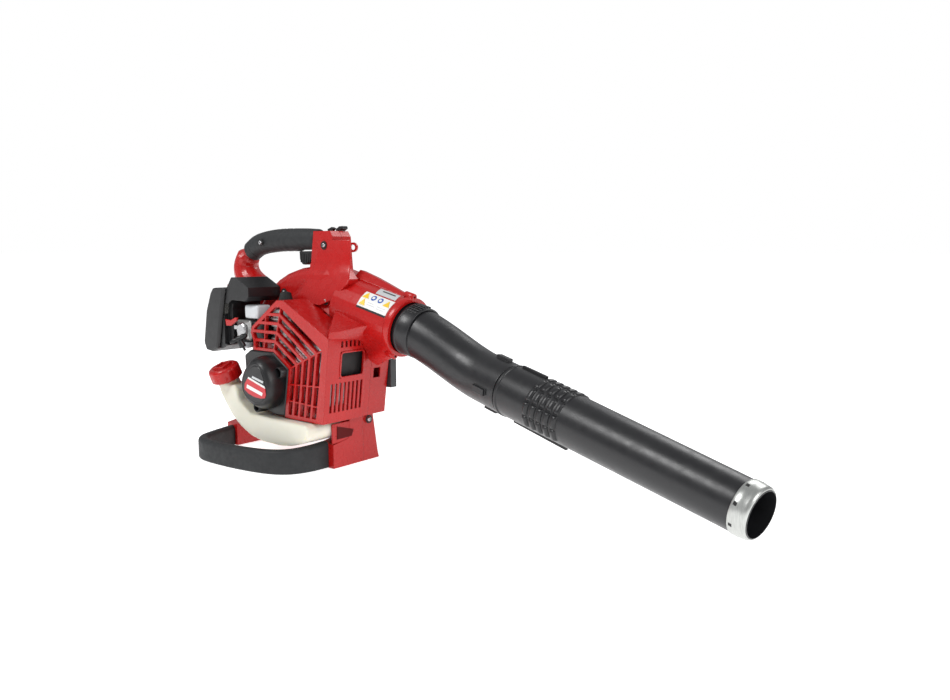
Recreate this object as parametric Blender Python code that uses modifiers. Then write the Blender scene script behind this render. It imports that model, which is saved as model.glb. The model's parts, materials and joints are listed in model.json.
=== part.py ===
"""Hand-held petrol leaf blower: a 25 cc class engine, a scroll fan and a two-piece air pipe.

Metres, +Z up. +X is the way the air leaves, -Y is the starter side and +Y the air intake side.
Shapes are drawn from a datum on the ground under the front foot's outer corner. The empty "datum"
carries that corner, so that the origin lies under the middle of the whole machine.
"""
import math

import bmesh
import bpy
from mathutils import Matrix, Vector

for old in list(bpy.data.objects):
    bpy.data.objects.remove(old, do_unlink=True)

# Driving dimensions -----------------------------------------------------------------------------
DATUM = (-0.1705, -0.0180, 0.0)     # where the front foot's corner lies from the origin
GAP = 0.0003                        # left between neighbours that touch
WALL = 0.0028                       # moulded plastic

CRANK = Vector((-0.100, 0.0, 0.130))    # the crankshaft's axis runs along Y through this point
CASE_NEAR, SPLIT, CASE_FAR = 0.028, 0.060, 0.098
SCROLL_MIN, SCROLL_MAX = 0.095, 0.165   # radius of the scroll at its foot and at its outlet
NEAR_EDGE, FAR_EDGE = 0.018, 0.008      # how round the scroll's rim is on either side
DUCT_FALL = math.radians(13.5)
DUCT_OUT = Vector((0.103, 0.055, 0.211))
DUCT_DIR = Vector((math.cos(DUCT_FALL), 0.0, -math.sin(DUCT_FALL)))
DUCT_RADIUS = 0.0405

PIPE_BEND = Vector((0.242, 0.056, 0.153))
PIPE_DIR = Vector((0.960, -0.187, -0.209)).normalized()
PIPE_START, PIPE_END = 0.050, 0.4065    # along PIPE_DIR from the bend
PIPE_WALL = 0.0022
ELBOW_R0, ELBOW_R1, NOZZLE_R = 0.0352, 0.0335, 0.0282
SPIGOT_R = 0.0294                       # the elbow's end, inside the straight pipe

HANDLE_Y = SPLIT
GRIP_R, CORE_R = 0.0160, 0.0128
ARM_R0, ARM_R1 = 0.0185, 0.0240         # the handle's rear arm, behind the grip and where it meets the scroll
GRIP_Z = 0.3355
REEL_R = 0.0215
DOME_Z = 0.1230                         # height of the starter dome's middle
PULL_DIR = Vector((-0.35, -0.30, 0.89)).normalized()

COVER_NEAR = -0.030
COVER_LEAN = 0.126                      # the front panel leans forward by this much per metre of height
COVER_FOOT = (0.013, 0.073)
SLOT_PITCH, SLOT_BAR = 0.0135, 0.0045
STARTER_EDGE = [(-0.143, 0.1695), (-0.095, 0.1695), (-0.0600, 0.1470), (-0.0720, 0.0755)]

CAP_AT = Vector((-0.205, -0.035, 0.119))
CAP_AXIS = Vector((-0.03, -0.37, 0.93)).normalized()

# Collections and materials ----------------------------------------------------------------------


def new_collection(name):
    made = bpy.data.collections.new(name)
    bpy.context.scene.collection.children.link(made)
    return made


PARTS = new_collection("leaf_blower")
CUTTERS = new_collection("cutters")
HOME = bpy.data.objects.new("datum", None)
HOME.location = DATUM
PARTS.objects.link(HOME)


def material(name, colour, roughness, metallic=0.0):
    made = bpy.data.materials.new(name)
    made.use_nodes = True
    shader = made.node_tree.nodes["Principled BSDF"]
    shader.inputs["Base Color"].default_value = (*colour, 1.0)
    shader.inputs["Roughness"].default_value = roughness
    shader.inputs["Metallic"].default_value = metallic
    return made


RED = ("red_plastic", (0.52, 0.02, 0.02), 0.28)
BLACK = ("black_plastic", (0.02, 0.02, 0.022), 0.42)
PIPE_BLACK = ("pipe_plastic", (0.025, 0.025, 0.028), 0.45)
SOFT = ("soft_grip", (0.07, 0.075, 0.08), 0.65)
GREY = ("grey_plastic", (0.16, 0.17, 0.18), 0.5)
CREAM = ("tank_plastic", (0.72, 0.69, 0.56), 0.4)
CLEAR = ("clear_plastic", (0.7, 0.72, 0.74), 0.25)
ALLOY = ("cast_alloy", (0.62, 0.62, 0.6), 0.4, 1.0)
STEEL = ("steel", (0.55, 0.55, 0.56), 0.3, 1.0)
RING = ("ring_metal", (0.66, 0.67, 0.65), 0.35, 1.0)
RUBBER = ("rubber", (0.03, 0.03, 0.03), 0.7)
FOAM = ("filter_foam", (0.1, 0.1, 0.09), 0.95)
CORD = ("cord", (0.05, 0.05, 0.05), 0.8)

# Shape helpers ----------------------------------------------------------------------------------


def tool(name, mesh):
    """A construction solid. It stays a guide until part() makes it one of the blower's pieces."""
    made = bpy.data.objects.new(name, mesh)
    CUTTERS.objects.link(made)
    made.hide_render = True
    made.display_type = "WIRE"
    made.parent = HOME
    return made


def part(made, name, finish, pivot=None, smooth=35):
    """Turn a solid into a named piece, with its origin on its joint's axis when it has one."""
    CUTTERS.objects.unlink(made)
    PARTS.objects.link(made)
    made.hide_render = False
    made.display_type = "TEXTURED"
    made.name = name
    made.data.materials.append(material(f"{name}_{finish[0]}", *finish[1:]))
    made.data.shade_smooth()
    made.data.set_sharp_from_angle(angle=math.radians(smooth))
    if pivot is not None:
        made.data.transform(Matrix.Translation(-Vector(pivot)))
        made.location = pivot
    return made


def mesh_from(bm, name):
    bmesh.ops.recalc_face_normals(bm, faces=bm.faces)
    mesh = bpy.data.meshes.new(name)
    bm.to_mesh(mesh)
    bm.free()
    return mesh


def baked(made, matrix=None):
    """The evaluated mesh of an object as a new tool, welded and turned by matrix. The object goes."""
    bpy.context.view_layer.update()
    seen = made.evaluated_get(bpy.context.evaluated_depsgraph_get())
    mesh = bpy.data.meshes.new_from_object(seen)
    name = made.name
    bpy.data.objects.remove(made, do_unlink=True)
    bm = bmesh.new()
    bm.from_mesh(mesh)
    bmesh.ops.remove_doubles(bm, verts=bm.verts, dist=1e-6)
    if matrix is not None:
        bmesh.ops.transform(bm, matrix=matrix, verts=bm.verts)
    return tool(name, mesh_from(bm, name))


def frame_to(axis, origin=(0, 0, 0)):
    """Matrix that takes local +Z to axis, and the local origin to origin."""
    turn = Vector(axis).to_track_quat("Z", "Y").to_matrix().to_4x4()
    return Matrix.Translation(Vector(origin)) @ turn


def cylinder(name, start, end, radius, segments=20):
    start, end = Vector(start), Vector(end)
    bm = bmesh.new()
    bmesh.ops.create_cone(bm, cap_ends=True, segments=segments, radius1=radius, radius2=radius,
                          depth=(end - start).length)
    bmesh.ops.transform(bm, matrix=frame_to(end - start, (start + end) / 2), verts=bm.verts)
    return tool(name, mesh_from(bm, name))


def along_crank(name, near, far, radius, segments):
    """A cylinder on the crankshaft's axis."""
    return cylinder(name, CRANK + Vector((0, near, 0)), CRANK + Vector((0, far, 0)), radius, segments)


def block(name, low, high):
    low, high = Vector(low), Vector(high)
    bm = bmesh.new()
    bmesh.ops.create_cube(bm, size=1.0)
    bmesh.ops.scale(bm, vec=high - low, verts=bm.verts)
    bmesh.ops.translate(bm, vec=(low + high) / 2, verts=bm.verts)
    return tool(name, mesh_from(bm, name))


def hull(name, points):
    bm = bmesh.new()
    for point in points:
        bm.verts.new(point)
    made = bmesh.ops.convex_hull(bm, input=bm.verts)
    loose = [item for item in made["geom_interior"] if isinstance(item, bmesh.types.BMVert)]
    bmesh.ops.delete(bm, geom=loose, context="VERTS")
    bmesh.ops.dissolve_limit(bm, angle_limit=math.radians(1), verts=bm.verts, edges=bm.edges)
    return tool(name, mesh_from(bm, name))


PLANE = {
    "X": Matrix(((0, 0, 1, 0), (1, 0, 0, 0), (0, 1, 0, 0), (0, 0, 0, 1))),
    "Y": Matrix(((1, 0, 0, 0), (0, 0, -1, 0), (0, 1, 0, 0), (0, 0, 0, 1))),
    "Z": Matrix.Identity(4),
}


def prism(name, points, axis, low, high):
    """A flat outline drawn across an axis (as YZ, XZ or XY) and extruded along it, low to high."""
    curve = bpy.data.curves.new(name, "CURVE")
    curve.dimensions = "2D"
    curve.fill_mode = "BOTH"
    curve.extrude = (high - low) / 2
    spline = curve.splines.new("POLY")
    spline.points.add(len(points) - 1)
    for spot, (a, b) in zip(spline.points, points):
        spot.co = (a, b, 0.0, 1.0)
    spline.use_cyclic_u = True
    made = bpy.data.objects.new(name, curve)
    CUTTERS.objects.link(made)
    shift = Vector((0, 0, 0))
    shift["XYZ".index(axis)] = (low + high) / 2
    return baked(made, Matrix.Translation(shift) @ PLANE[axis])


def turned(name, profile, base, axis, steps=24, ring=False):
    """A profile of (radius, height) pairs swept round axis from base. ring closes the profile."""
    mesh = bpy.data.meshes.new(name)
    edges = [(i, i + 1) for i in range(len(profile) - 1)]
    if ring:
        edges.append((len(profile) - 1, 0))
    mesh.from_pydata([(radius, 0.0, height) for radius, height in profile], edges, [])
    made = bpy.data.objects.new(name, mesh)
    CUTTERS.objects.link(made)
    screw = made.modifiers.new("turn", "SCREW")
    screw.steps = screw.render_steps = steps
    screw.use_merge_vertices = True
    screw.merge_threshold = 0.00001
    return baked(made, frame_to(axis, base))


def wire(name, points, radius, sides=2):
    """A round rod or hose through points."""
    curve = bpy.data.curves.new(name, "CURVE")
    curve.dimensions = "3D"
    curve.bevel_depth = radius
    curve.bevel_resolution = sides
    curve.use_fill_caps = True
    spline = curve.splines.new("POLY")
    spline.points.add(len(points) - 1)
    for spot, point in zip(spline.points, points):
        spot.co = (*point, 1.0)
    made = bpy.data.objects.new(name, curve)
    CUTTERS.objects.link(made)
    return baked(made)


def loft(name, rings, closed=False):
    """Skin over rings of equal length. closed joins the last ring to the first, as a hollow tube."""
    bm = bmesh.new()
    rows = [[bm.verts.new(point) for point in ring] for ring in rings]
    count = len(rows[0])
    pairs = list(zip(rows, rows[1:]))
    if closed:
        pairs.append((rows[-1], rows[0]))
    for near, far in pairs:
        for i in range(count):
            j = (i + 1) % count
            bm.faces.new((near[i], near[j], far[j], far[i]))
    if not closed:
        bm.faces.new(rows[0])
        bm.faces.new(rows[-1])
    return tool(name, mesh_from(bm, name))


def ring(centre, direction, across, upright, segments=16, up=(0, 1, 0)):
    """An ellipse round centre, square to direction. across is its radius along up's square."""
    direction = Vector(direction).normalized()
    side = Vector(up).cross(direction).normalized()
    rise = direction.cross(side)
    made = []
    for k in range(segments):
        turn = 2 * math.pi * k / segments
        made.append(Vector(centre) + side * across * math.cos(turn) + rise * upright * math.sin(turn))
    return made


def smooth_path(points, steps=4):
    """Points on a smooth curve through the given ones (Catmull-Rom)."""
    points = [Vector(point) for point in points]
    padded = [2 * points[0] - points[1]] + points + [2 * points[-1] - points[-2]]
    made = []
    for i in range(1, len(padded) - 2):
        a, b, c, d = padded[i - 1:i + 3]
        for k in range(steps):
            t = k / steps
            made.append(0.5 * (2 * b + (c - a) * t + (2 * a - 5 * b + 4 * c - d) * t * t
                               + (3 * b - a - 3 * c + d) * t ** 3))
    return made + [points[-1]]


def boolean(made, other, operation, solver="EXACT"):
    step = made.modifiers.new(f"{operation.lower()} {other.name}", "BOOLEAN")
    step.operation = operation
    step.object = other
    step.solver = solver
    return made


def join(made, *others):
    for other in others:
        boolean(made, other, "UNION")
    return made


def cut(made, *others):
    for other in others:
        boolean(made, other, "DIFFERENCE")
    return made


def soften(made, width, segments=1, angle=40):
    edge = made.modifiers.new("soft edges", "BEVEL")
    edge.width = width
    edge.segments = segments
    edge.limit_method = "ANGLE"
    edge.angle_limit = math.radians(angle)
    return made


# Fan case, handle frame and feet ----------------------------------------------------------------


def scroll_radius(turn):
    """Radius of the scroll at an angle in degrees, counted from its tongue the way the fan turns."""
    grown = min(max((turn - 130) / 180, 0.0), 1.08)
    return SCROLL_MIN + (SCROLL_MAX - SCROLL_MIN) * grown ** 0.75


def scroll_outline(inset):
    tongue, last = 40, 323.5
    spots = []
    steps = 36
    for k in range(steps + 1):
        turn = last * k / steps
        angle = math.radians(tongue - turn)
        reach = scroll_radius(turn) - inset
        spots.append((CRANK.x + reach * math.cos(angle), CRANK.z + reach * math.sin(angle)))
    top_x, top_z = spots[-1]
    spots.append((0.0, top_z - (0.0 - top_x) * math.tan(DUCT_FALL)))
    return spots


def scroll_body(name, wall):
    """The scroll, or with a wall the room inside it. Its rim is rounded, more so on the engine's side."""
    shares = (0.0, 0.06, 0.2, 0.45, 1.0)
    rings = []
    for plane, edge, way in ((CASE_NEAR + wall, NEAR_EDGE - wall, 1), (CASE_FAR - wall, FAR_EDGE - wall, -1)):
        for share in shares[::way]:
            inset = wall + edge * (1 - math.sqrt(1 - (1 - share) ** 2))
            rings.append([Vector((x, plane + way * edge * share, z)) for x, z in scroll_outline(inset)])
    return loft(name, rings)


def duct(name, radius, start, end):
    """A straight round duct. start and end are measured from the outlet's face."""
    return cylinder(name, DUCT_OUT + DUCT_DIR * start, DUCT_OUT + DUCT_DIR * end, radius, 32)


HANDLE_PATH = [(-0.070, GRIP_Z), (-0.125, GRIP_Z + 0.0015), (-0.185, GRIP_Z + 0.0010), (-0.234, 0.3305),
               (-0.266, 0.3150), (-0.2785, 0.2945), (-0.2705, 0.2735), (-0.2465, 0.2566), (-0.2150, 0.2430)]
HANDLE_STEPS = 4
GRIP_LAST = 0.268                       # the sleeve ends this far behind the front foot


def handle_line():
    flat = smooth_path([(x, 0.0, z) for x, z in HANDLE_PATH], HANDLE_STEPS)
    return [Vector((spot.x, HANDLE_Y, spot.z)) for spot in flat]


def handle_loft(name, radius_of, line):
    rings = []
    for i, spot in enumerate(line):
        ahead = line[min(i + 1, len(line) - 1)] - line[max(i - 1, 0)]
        rings.append(ring(spot, ahead, radius_of(i), radius_of(i) * 1.04, 18))
    return loft(name, rings)


def sleeve_count(line):
    """How many of the path's points lie under the soft sleeve."""
    count = 0
    for spot in line[:-2 * HANDLE_STEPS - 2]:
        if spot.x > -GRIP_LAST:
            count += 1
    return count


def both_sides(*corners):
    """Corners given as x, distance from the split plane, z, set out on both sides of that plane."""
    return [(x, SPLIT + side * reach, z) for side in (-1, 1) for x, reach, z in corners]


def post_flare():
    """Below the post its near face runs on down and out to the cover's roof, with a ridge towards the duct.

    Each level gives its height, the x of its rear edge, ridge and front edge, and the y of its near face.
    """
    levels = [(0.3010, -0.0870, -0.0400, -0.0386, 0.0385), (0.2925, -0.0845, -0.0430, -0.0340, 0.0345),
              (0.2840, -0.0838, -0.0470, -0.0300, 0.0285), (0.2740, -0.0870, -0.0530, -0.0270, 0.0265),
              (0.2640, -0.0960, -0.0600, -0.0250, 0.0250), (0.2560, -0.1075, -0.0660, -0.0250, 0.0238),
              (0.2500, -0.1200, -0.0700, -0.0250, 0.0229), (0.2484, -0.1210, -0.0695, -0.0250, 0.0226),
              (0.2483, -0.0697, -0.0690, -0.0250, 0.0226), (0.2400, -0.0535, -0.0525, -0.0250, 0.0210),
              (0.2258, -0.0256, -0.0253, -0.0250, 0.0186)]
    setback = 0.18
    far = SPLIT - 0.010
    rings = []
    for z, rear, ridge, front, near in levels:
        rings.append([Vector((rear, near, z)), Vector((ridge, near, z)),
                      Vector((front, near + setback * (front - ridge), z)), Vector((front, far, z)),
                      Vector((rear, far, z))])
    return loft("post_flare", rings)


def make_case_tools():
    line = handle_line()
    covered = sleeve_count(line)

    def outer(i):
        if i < covered:
            return CORE_R
        return min(ARM_R0 + (ARM_R1 - ARM_R0) * (i - covered) / (2.5 * HANDLE_STEPS), ARM_R1)

    foot = [(0.000, 0.000), (0.093, 0.000), (0.090, 0.012), (0.080, 0.078), (0.034, 0.078), (0.030, 0.041),
            (0.000, 0.036)]
    tools = {
        "duct": duct("duct_outer", DUCT_RADIUS, -0.125, -0.004),
        "flange": duct("duct_flange", 0.0430, -0.010, 0.0),
        "handle": handle_loft("handle_outer", outer, line),
        "post": hull("post_outer", both_sides((-0.082, 0.0185, 0.3495), (-0.045, 0.0185, 0.3495),
                                              (-0.0390, 0.0185, 0.3410), (-0.087, 0.0205, 0.3000),
                                              (-0.0385, 0.0205, 0.3000), (-0.087, 0.0215, 0.2880),
                                              (-0.0380, 0.0215, 0.2880))),
        "post_flare": post_flare(),
        "post_boss": cylinder("post_boss", (-0.0330, 0.0205, 0.2460), (-0.0330, 0.0400, 0.2460), 0.0062, 16),
        "front": prism("front_strip", [(0.010, 0.073), (0.0265, 0.200), (-0.030, 0.200), (-0.030, 0.073)],
                       "Y", 0.0465, 0.0965),
        "front_foot": prism("front_foot", foot, "X", -0.030, 0.0),
        "rear_foot": prism("rear_foot", foot, "X", -0.262, -0.236),
        "rear_web": prism("rear_web", [(-0.262, 0.020), (-0.262, 0.075), (-0.225, 0.140), (-0.190, 0.060),
                                       (-0.232, 0.020)], "Y", 0.034, 0.092),
        "inside": scroll_body("scroll_inside", WALL),
        "bore": duct("duct_bore", DUCT_RADIUS - WALL, -0.110, 0.004),
        "handle_bore": handle_loft("handle_inside", lambda i: outer(i) - 0.0030, line[1:-3]),
        "post_bore": hull("post_inside", both_sides((-0.077, 0.0150, 0.3460), (-0.047, 0.0150, 0.3460),
                                                    (-0.082, 0.0160, 0.2900), (-0.044, 0.0160, 0.2900))),
        "front_bore": prism("strip_inside", [(0.0075, 0.077), (0.0225, 0.195), (-0.002, 0.195),
                                             (-0.001, 0.077)], "Y", 0.0495, 0.0935),
        "shaft_hole": along_crank("shaft_hole", 0.020, 0.035, 0.0145, 20),
        "eye": along_crank("air_intake", 0.090, 0.105, 0.056, 32),
        "notch": block("front_notch", (0.012, 0.066, 0.130), (0.030, 0.080, 0.145)),
        "trigger_slot": block("trigger_slot", (-0.1345, 0.0525, 0.310), (-0.0885, 0.0675, 0.334)),
        "lever_slot": block("lever_slot", (-0.0785, 0.0625, 0.338), (-0.0615, 0.0705, 0.360)),
    }
    return tools


def make_case_half(name, tools, low, high):
    body = scroll_body(f"{name}_scroll", 0.0)
    join(body, tools["duct"], tools["flange"], tools["handle"], tools["post"], tools["post_flare"],
         tools["post_boss"], tools["front"], tools["front_foot"], tools["rear_foot"], tools["rear_web"])
    cut(body, tools["inside"], tools["bore"], tools["handle_bore"], tools["post_bore"], tools["front_bore"],
        tools["shaft_hole"], tools["eye"], tools["notch"], tools["trigger_slot"], tools["lever_slot"])
    keep = block(f"{name}_side", (-0.5, low, -0.1), (0.5, high, 0.5))
    boolean(body, keep, "INTERSECT")
    return part(body, name, RED)


def make_grip():
    line = handle_line()
    covered = sleeve_count(line)
    line = [Vector((-0.0885, HANDLE_Y, GRIP_Z + 0.0006))] + [spot for spot in line[:covered - 1]
                                                            if spot.x < -0.095]
    outer, inner = [], []
    for i, spot in enumerate(line):
        ahead = line[min(i + 1, len(line) - 1)] - line[max(i - 1, 0)]
        swell = 0.0012 * math.sin(math.pi * i / (len(line) - 1))
        outer.append(ring(spot, ahead, GRIP_R + swell, (GRIP_R + swell) * 1.06, 12))
        inner.append(ring(spot, ahead, CORE_R + GAP + 0.0002, (CORE_R + GAP + 0.0002) * 1.04, 12))
    sleeve = loft("sleeve", outer + inner[::-1], closed=True)
    cut(sleeve, block("trigger_gap", (-0.1350, 0.0520, 0.308), (-0.0800, 0.0680, 0.330)))
    return part(sleeve, "grip_sleeve", SOFT)


def make_stand():
    """The bar that bows out from both feet and lies on the ground on the starter side."""
    route = [(-0.0185, -0.0003), (-0.0205, -0.030), (-0.0310, -0.056), (-0.0560, -0.072), (-0.100, -0.0815),
             (-0.150, -0.0860), (-0.196, -0.0845), (-0.2230, -0.0700), (-0.2370, -0.040), (-0.2490, -0.0003)]
    line = smooth_path([(x, y, 0.0) for x, y in route], 3)
    rings = []
    for i, spot in enumerate(line):
        ahead = (line[min(i + 1, len(line) - 1)] - line[max(i - 1, 0)]).normalized()
        if i in (0, len(line) - 1):
            ahead = Vector((0, -1 if i == 0 else 1, 0))
        side = Vector((ahead.y, -ahead.x, 0))
        share = i / (len(line) - 1)
        height = 0.0400 - 0.0075 * math.sin(math.pi * min(share * 1.4, 1.0) / 2)
        half, soft = 0.0075, 0.003
        outline = [(-half, soft), (-half + soft, 0.0), (half - soft, 0.0), (half, soft),
                   (half, height - soft), (half - soft, height), (-half + soft, height),
                   (-half, height - soft)]
        rings.append([spot + side * a + Vector((0, 0, b)) for a, b in outline])
    return part(loft("stand", rings), "stand_loop", SOFT)


def make_intake_guard():
    """Grey grille over the fan's eye, hinged at the rear, with its latch block at the front."""
    low, high = CASE_FAR + 0.0008, 0.1300
    plate = turned("guard_dish", [(0.0, high - low), (0.066, high - low), (0.088, high - low - 0.010),
                                  (0.092, 0.0), (0.089, 0.0), (0.085, high - low - 0.0125),
                                  (0.064, high - low - 0.003), (0.0, high - low - 0.003)],
                   CRANK + Vector((0, low, 0)), (0, 1, 0), 26)
    rim = block("guard_latch_block", (-0.015, low, 0.111), (0.0225, 0.1110, 0.154))
    ear = block("guard_hinge_ear", (-0.2060, low, 0.112), (-0.186, 0.1085, 0.148))
    join(plate, rim, ear)
    slots = []
    for k in range(-3, 4):
        x = CRANK.x + k * 0.0165
        reach = math.sqrt(0.060 ** 2 - (k * 0.0165) ** 2) * 0.94
        for half in (-1, 1):
            near, far = sorted((half * 0.003, half * reach))
            slots.append(block("guard_slot", (x - 0.0050, high - 0.008, CRANK.z + near),
                               (x + 0.0050, high + 0.008, CRANK.z + far)))
    cut(plate, merged("guard_slots", *slots))
    return part(plate, "intake_guard", GREY, pivot=(-0.2085, low + 0.003, CRANK.z))


# Engine cover, starter and tank -----------------------------------------------------------------


def offset_corner(index, distance):
    """A corner of the starter's edge moved out square to both of its neighbours."""
    edge = [Vector(spot) for spot in STARTER_EDGE]
    normals = []
    for a, b in zip(edge, edge[1:]):
        way = (b - a).normalized()
        normals.append(Vector((-way.y, way.x)))
    if index == 0:
        return edge[0] + normals[0] * distance
    if index == len(edge) - 1:
        return edge[-1] + normals[-1] * distance
    mitre = normals[index - 1] + normals[index]
    return edge[index] + mitre * distance * 2 / mitre.length_squared


SIDE_OUTLINE = [(0.013, 0.073), (0.0286, 0.197), (-0.070, 0.2475), (-0.084, 0.2475), (-0.1455, 0.205),
                (-0.149, 0.196), (-0.143, 0.184), (-0.143, 0.1695), (-0.095, 0.1695), (-0.0600, 0.1470),
                (-0.0720, 0.0755), (-0.071, 0.073)]


def make_cover():
    """Side grille, leaning front panel and roof, as one open moulding."""
    side = prism("cover_side", SIDE_OUTLINE, "Y", COVER_NEAR, COVER_NEAR + 0.006)
    front = prism("cover_front", [(0.013, 0.073), (0.0286, 0.197), (0.0286 - WALL, 0.197),
                                  (0.013 - WALL, 0.073)],
                  "Y", COVER_NEAR, 0.0460)
    roof = prism("cover_roof", [(0.0286, 0.197), (-0.070, 0.2475), (-0.084, 0.2475), (-0.084, 0.2445),
                                (-0.071, 0.2445), (0.0258, 0.195)], "Y", COVER_NEAR, CASE_NEAR - GAP)
    lip = prism("cover_lip", [(0.0286, 0.197), (-0.002, 0.2127), (-0.003, 0.2095), (0.0258, 0.195)],
                "Y", CASE_NEAR - GAP - 0.001, 0.0460)
    join(side, front, roof, lip)

    bands = None
    for row in range(5):
        near = SLOT_BAR + row * SLOT_PITCH
        far = near + SLOT_PITCH - SLOT_BAR
        inner = [offset_corner(i, near) for i in range(4)]
        outer = [offset_corner(i, far) for i in range(4)]
        inner[0].x = outer[0].x = -0.16
        inner[3].y = outer[3].y = 0.06
        band = prism(f"slot_band_{row}", [tuple(p) for p in inner + outer[::-1]], "Y", -0.04, -0.02)
        if bands is None:
            bands = band
        else:
            bands = merged("slot_bands", bands, band)
    inside = prism("grille_field", [(0.0045, 0.079), (0.0180, 0.1920), (-0.071, 0.2410), (-0.082, 0.2410),
                                    (-0.1395, 0.2030), (-0.1435, 0.1960), (-0.1380, 0.1840), (-0.1380, 0.160),
                                    (-0.0600, 0.1300), (-0.0640, 0.079)], "Y", -0.05, -0.01)
    boolean(bands, inside, "INTERSECT")
    for index in (1, 2):
        start, end = offset_corner(index, -0.002), offset_corner(index, 0.090)
        cut(bands, rib(f"mitre_rib_{index}", start, end))
    cut(bands, rib("top_rib", Vector((-0.119, 0.160)), Vector((-0.108, 0.250))),
        rib("upper_rib", Vector((-0.066, 0.124)), Vector((0.030, 0.128))),
        rib("lower_rib", Vector((-0.070, 0.100)), Vector((0.030, 0.096))))
    cut(side, bands)

    holes = block("exhaust_window", (0.0, -0.0050, 0.138), (0.040, 0.0420, 0.1765))
    for k in range(8):
        y = -0.0200 + 0.0082 * k
        holes = merged("front_slots", holes, block("slot", (0.0, y, 0.0885), (0.04, y + 0.0042, 0.131)))
    for k in range(6):
        y = -0.0050 + 0.0082 * k
        holes = merged("front_slots", holes, block("slot", (0.0, y, 0.183), (0.04, y + 0.0042, 0.192)))
    cut(side, holes, duct("duct_clearance", DUCT_RADIUS + GAP + 0.0002, -0.140, 0.01))
    return part(side, "engine_cover", RED)


def merged(name, *pieces):
    """Several separate solids in one mesh, for use as a single cutter."""
    bm = bmesh.new()
    for piece in pieces:
        bm.from_mesh(piece.data)
    for piece in pieces:
        bpy.data.objects.remove(piece, do_unlink=True)
    return tool(name, mesh_from(bm, name))


def rib(name, start, end):
    """A bar 2 mm wide left standing across the slots, from start to end as (x, z)."""
    way = (end - start).normalized()
    side = Vector((-way.y, way.x)) * 0.001
    corners = [start + side, end + side, end - side, start - side]
    return prism(name, [tuple(p) for p in corners], "Y", -0.06, -0.01)


def make_starter():
    near = COVER_NEAR - 0.001
    edge = [(-0.165, 0.160), (-0.150, 0.1690), (-0.0953, 0.1690), (-0.0605, 0.1465), (-0.0724, 0.0755),
            (-0.090, 0.0745), (-0.135, 0.081), (-0.162, 0.105)]
    shell = prism("starter_plate", edge, "Y", near, -0.0235)
    soften(shell, 0.0015)
    apex = math.radians(75)
    rings = []
    for depth, middle, size, squareness in ((near + 0.004, -0.1100, 0.0405, 0.01),
                                            (-0.0400, -0.1080, 0.0400, 0.03),
                                            (-0.0510, -0.1060, 0.0378, 0.05),
                                            (-0.0600, -0.1035, 0.0290, 0.12)):
        loop = []
        for k in range(24):
            turn = 2 * math.pi * k / 24
            reach = size * (1 + squareness * math.cos(3 * (turn - apex)))
            loop.append(Vector((middle + reach * math.cos(turn), depth, DOME_Z + reach * math.sin(turn))))
        rings.append(loop)
    dome = loft("starter_dome", rings)
    inside = turned("starter_hollow", [(0.0, 0.0), (0.0140, 0.0), (0.0222, 0.004), (0.0222, 0.060),
                                       (0.0, 0.060)],
                    CRANK + Vector((0, -0.0560, 0)), (0, 1, 0), 20)
    recess = cylinder("starter_recess", (-0.0725, -0.080, 0.1410), (-0.0725, -0.0360, 0.1410), 0.0056, 16)
    boss = cylinder("starter_boss", (-0.1205, -0.045, 0.0850), (-0.1205, -0.020, 0.0850), 0.0080, 14)
    hole = cylinder("starter_boss_hole", (-0.1205, -0.050, 0.0850), (-0.1205, -0.038, 0.0850), 0.0040, 12)
    join(shell, dome, boss)
    cut(shell, inside, recess, hole)
    return part(shell, "starter_housing", BLACK)


def make_tank():
    outline = [(-0.214, 0.100), (-0.204, 0.086), (-0.186, 0.066), (-0.164, 0.050), (-0.138, 0.0385),
               (-0.110, 0.0330), (-0.070, 0.0325), (-0.045, 0.0355), (-0.022, 0.0415), (-0.008, 0.0490),
               (-0.0040, 0.0570), (-0.0045, 0.0670), (-0.010, 0.0715), (-0.068, 0.0715), (-0.140, 0.0735),
               (-0.166, 0.090), (-0.170, 0.1080), (-0.178, 0.1140), (-0.206, 0.1100)]
    body = prism("tank_body", outline, "Y", -0.0450, 0.0240)
    soften(body, 0.0090, 3, 50)
    neck = cylinder("tank_neck", CAP_AT - CAP_AXIS * 0.022, CAP_AT, 0.0170, 20)
    body_mesh = baked(body)
    body_mesh.name = "tank_body"
    join(body_mesh, neck)
    hollow = prism("tank_inside", [(-0.200, 0.094), (-0.182, 0.071), (-0.160, 0.056), (-0.136, 0.0450),
                                   (-0.108, 0.0390), (-0.070, 0.0380), (-0.040, 0.0420), (-0.0120, 0.0560),
                                   (-0.0120, 0.0670), (-0.070, 0.0680), (-0.144, 0.0700), (-0.173, 0.090),
                                   (-0.180, 0.104)], "Y", -0.0390, 0.0190)
    bore = cylinder("neck_bore", CAP_AT - CAP_AXIS * 0.030, CAP_AT + CAP_AXIS * 0.004, 0.0130, 20)
    notch = block("foot_clearance", (-0.0305, -0.0005, 0.0), (0.0005, 0.040, 0.0416))
    cut(body_mesh, hollow, bore, notch)
    return part(body_mesh, "fuel_tank", CREAM)


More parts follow.
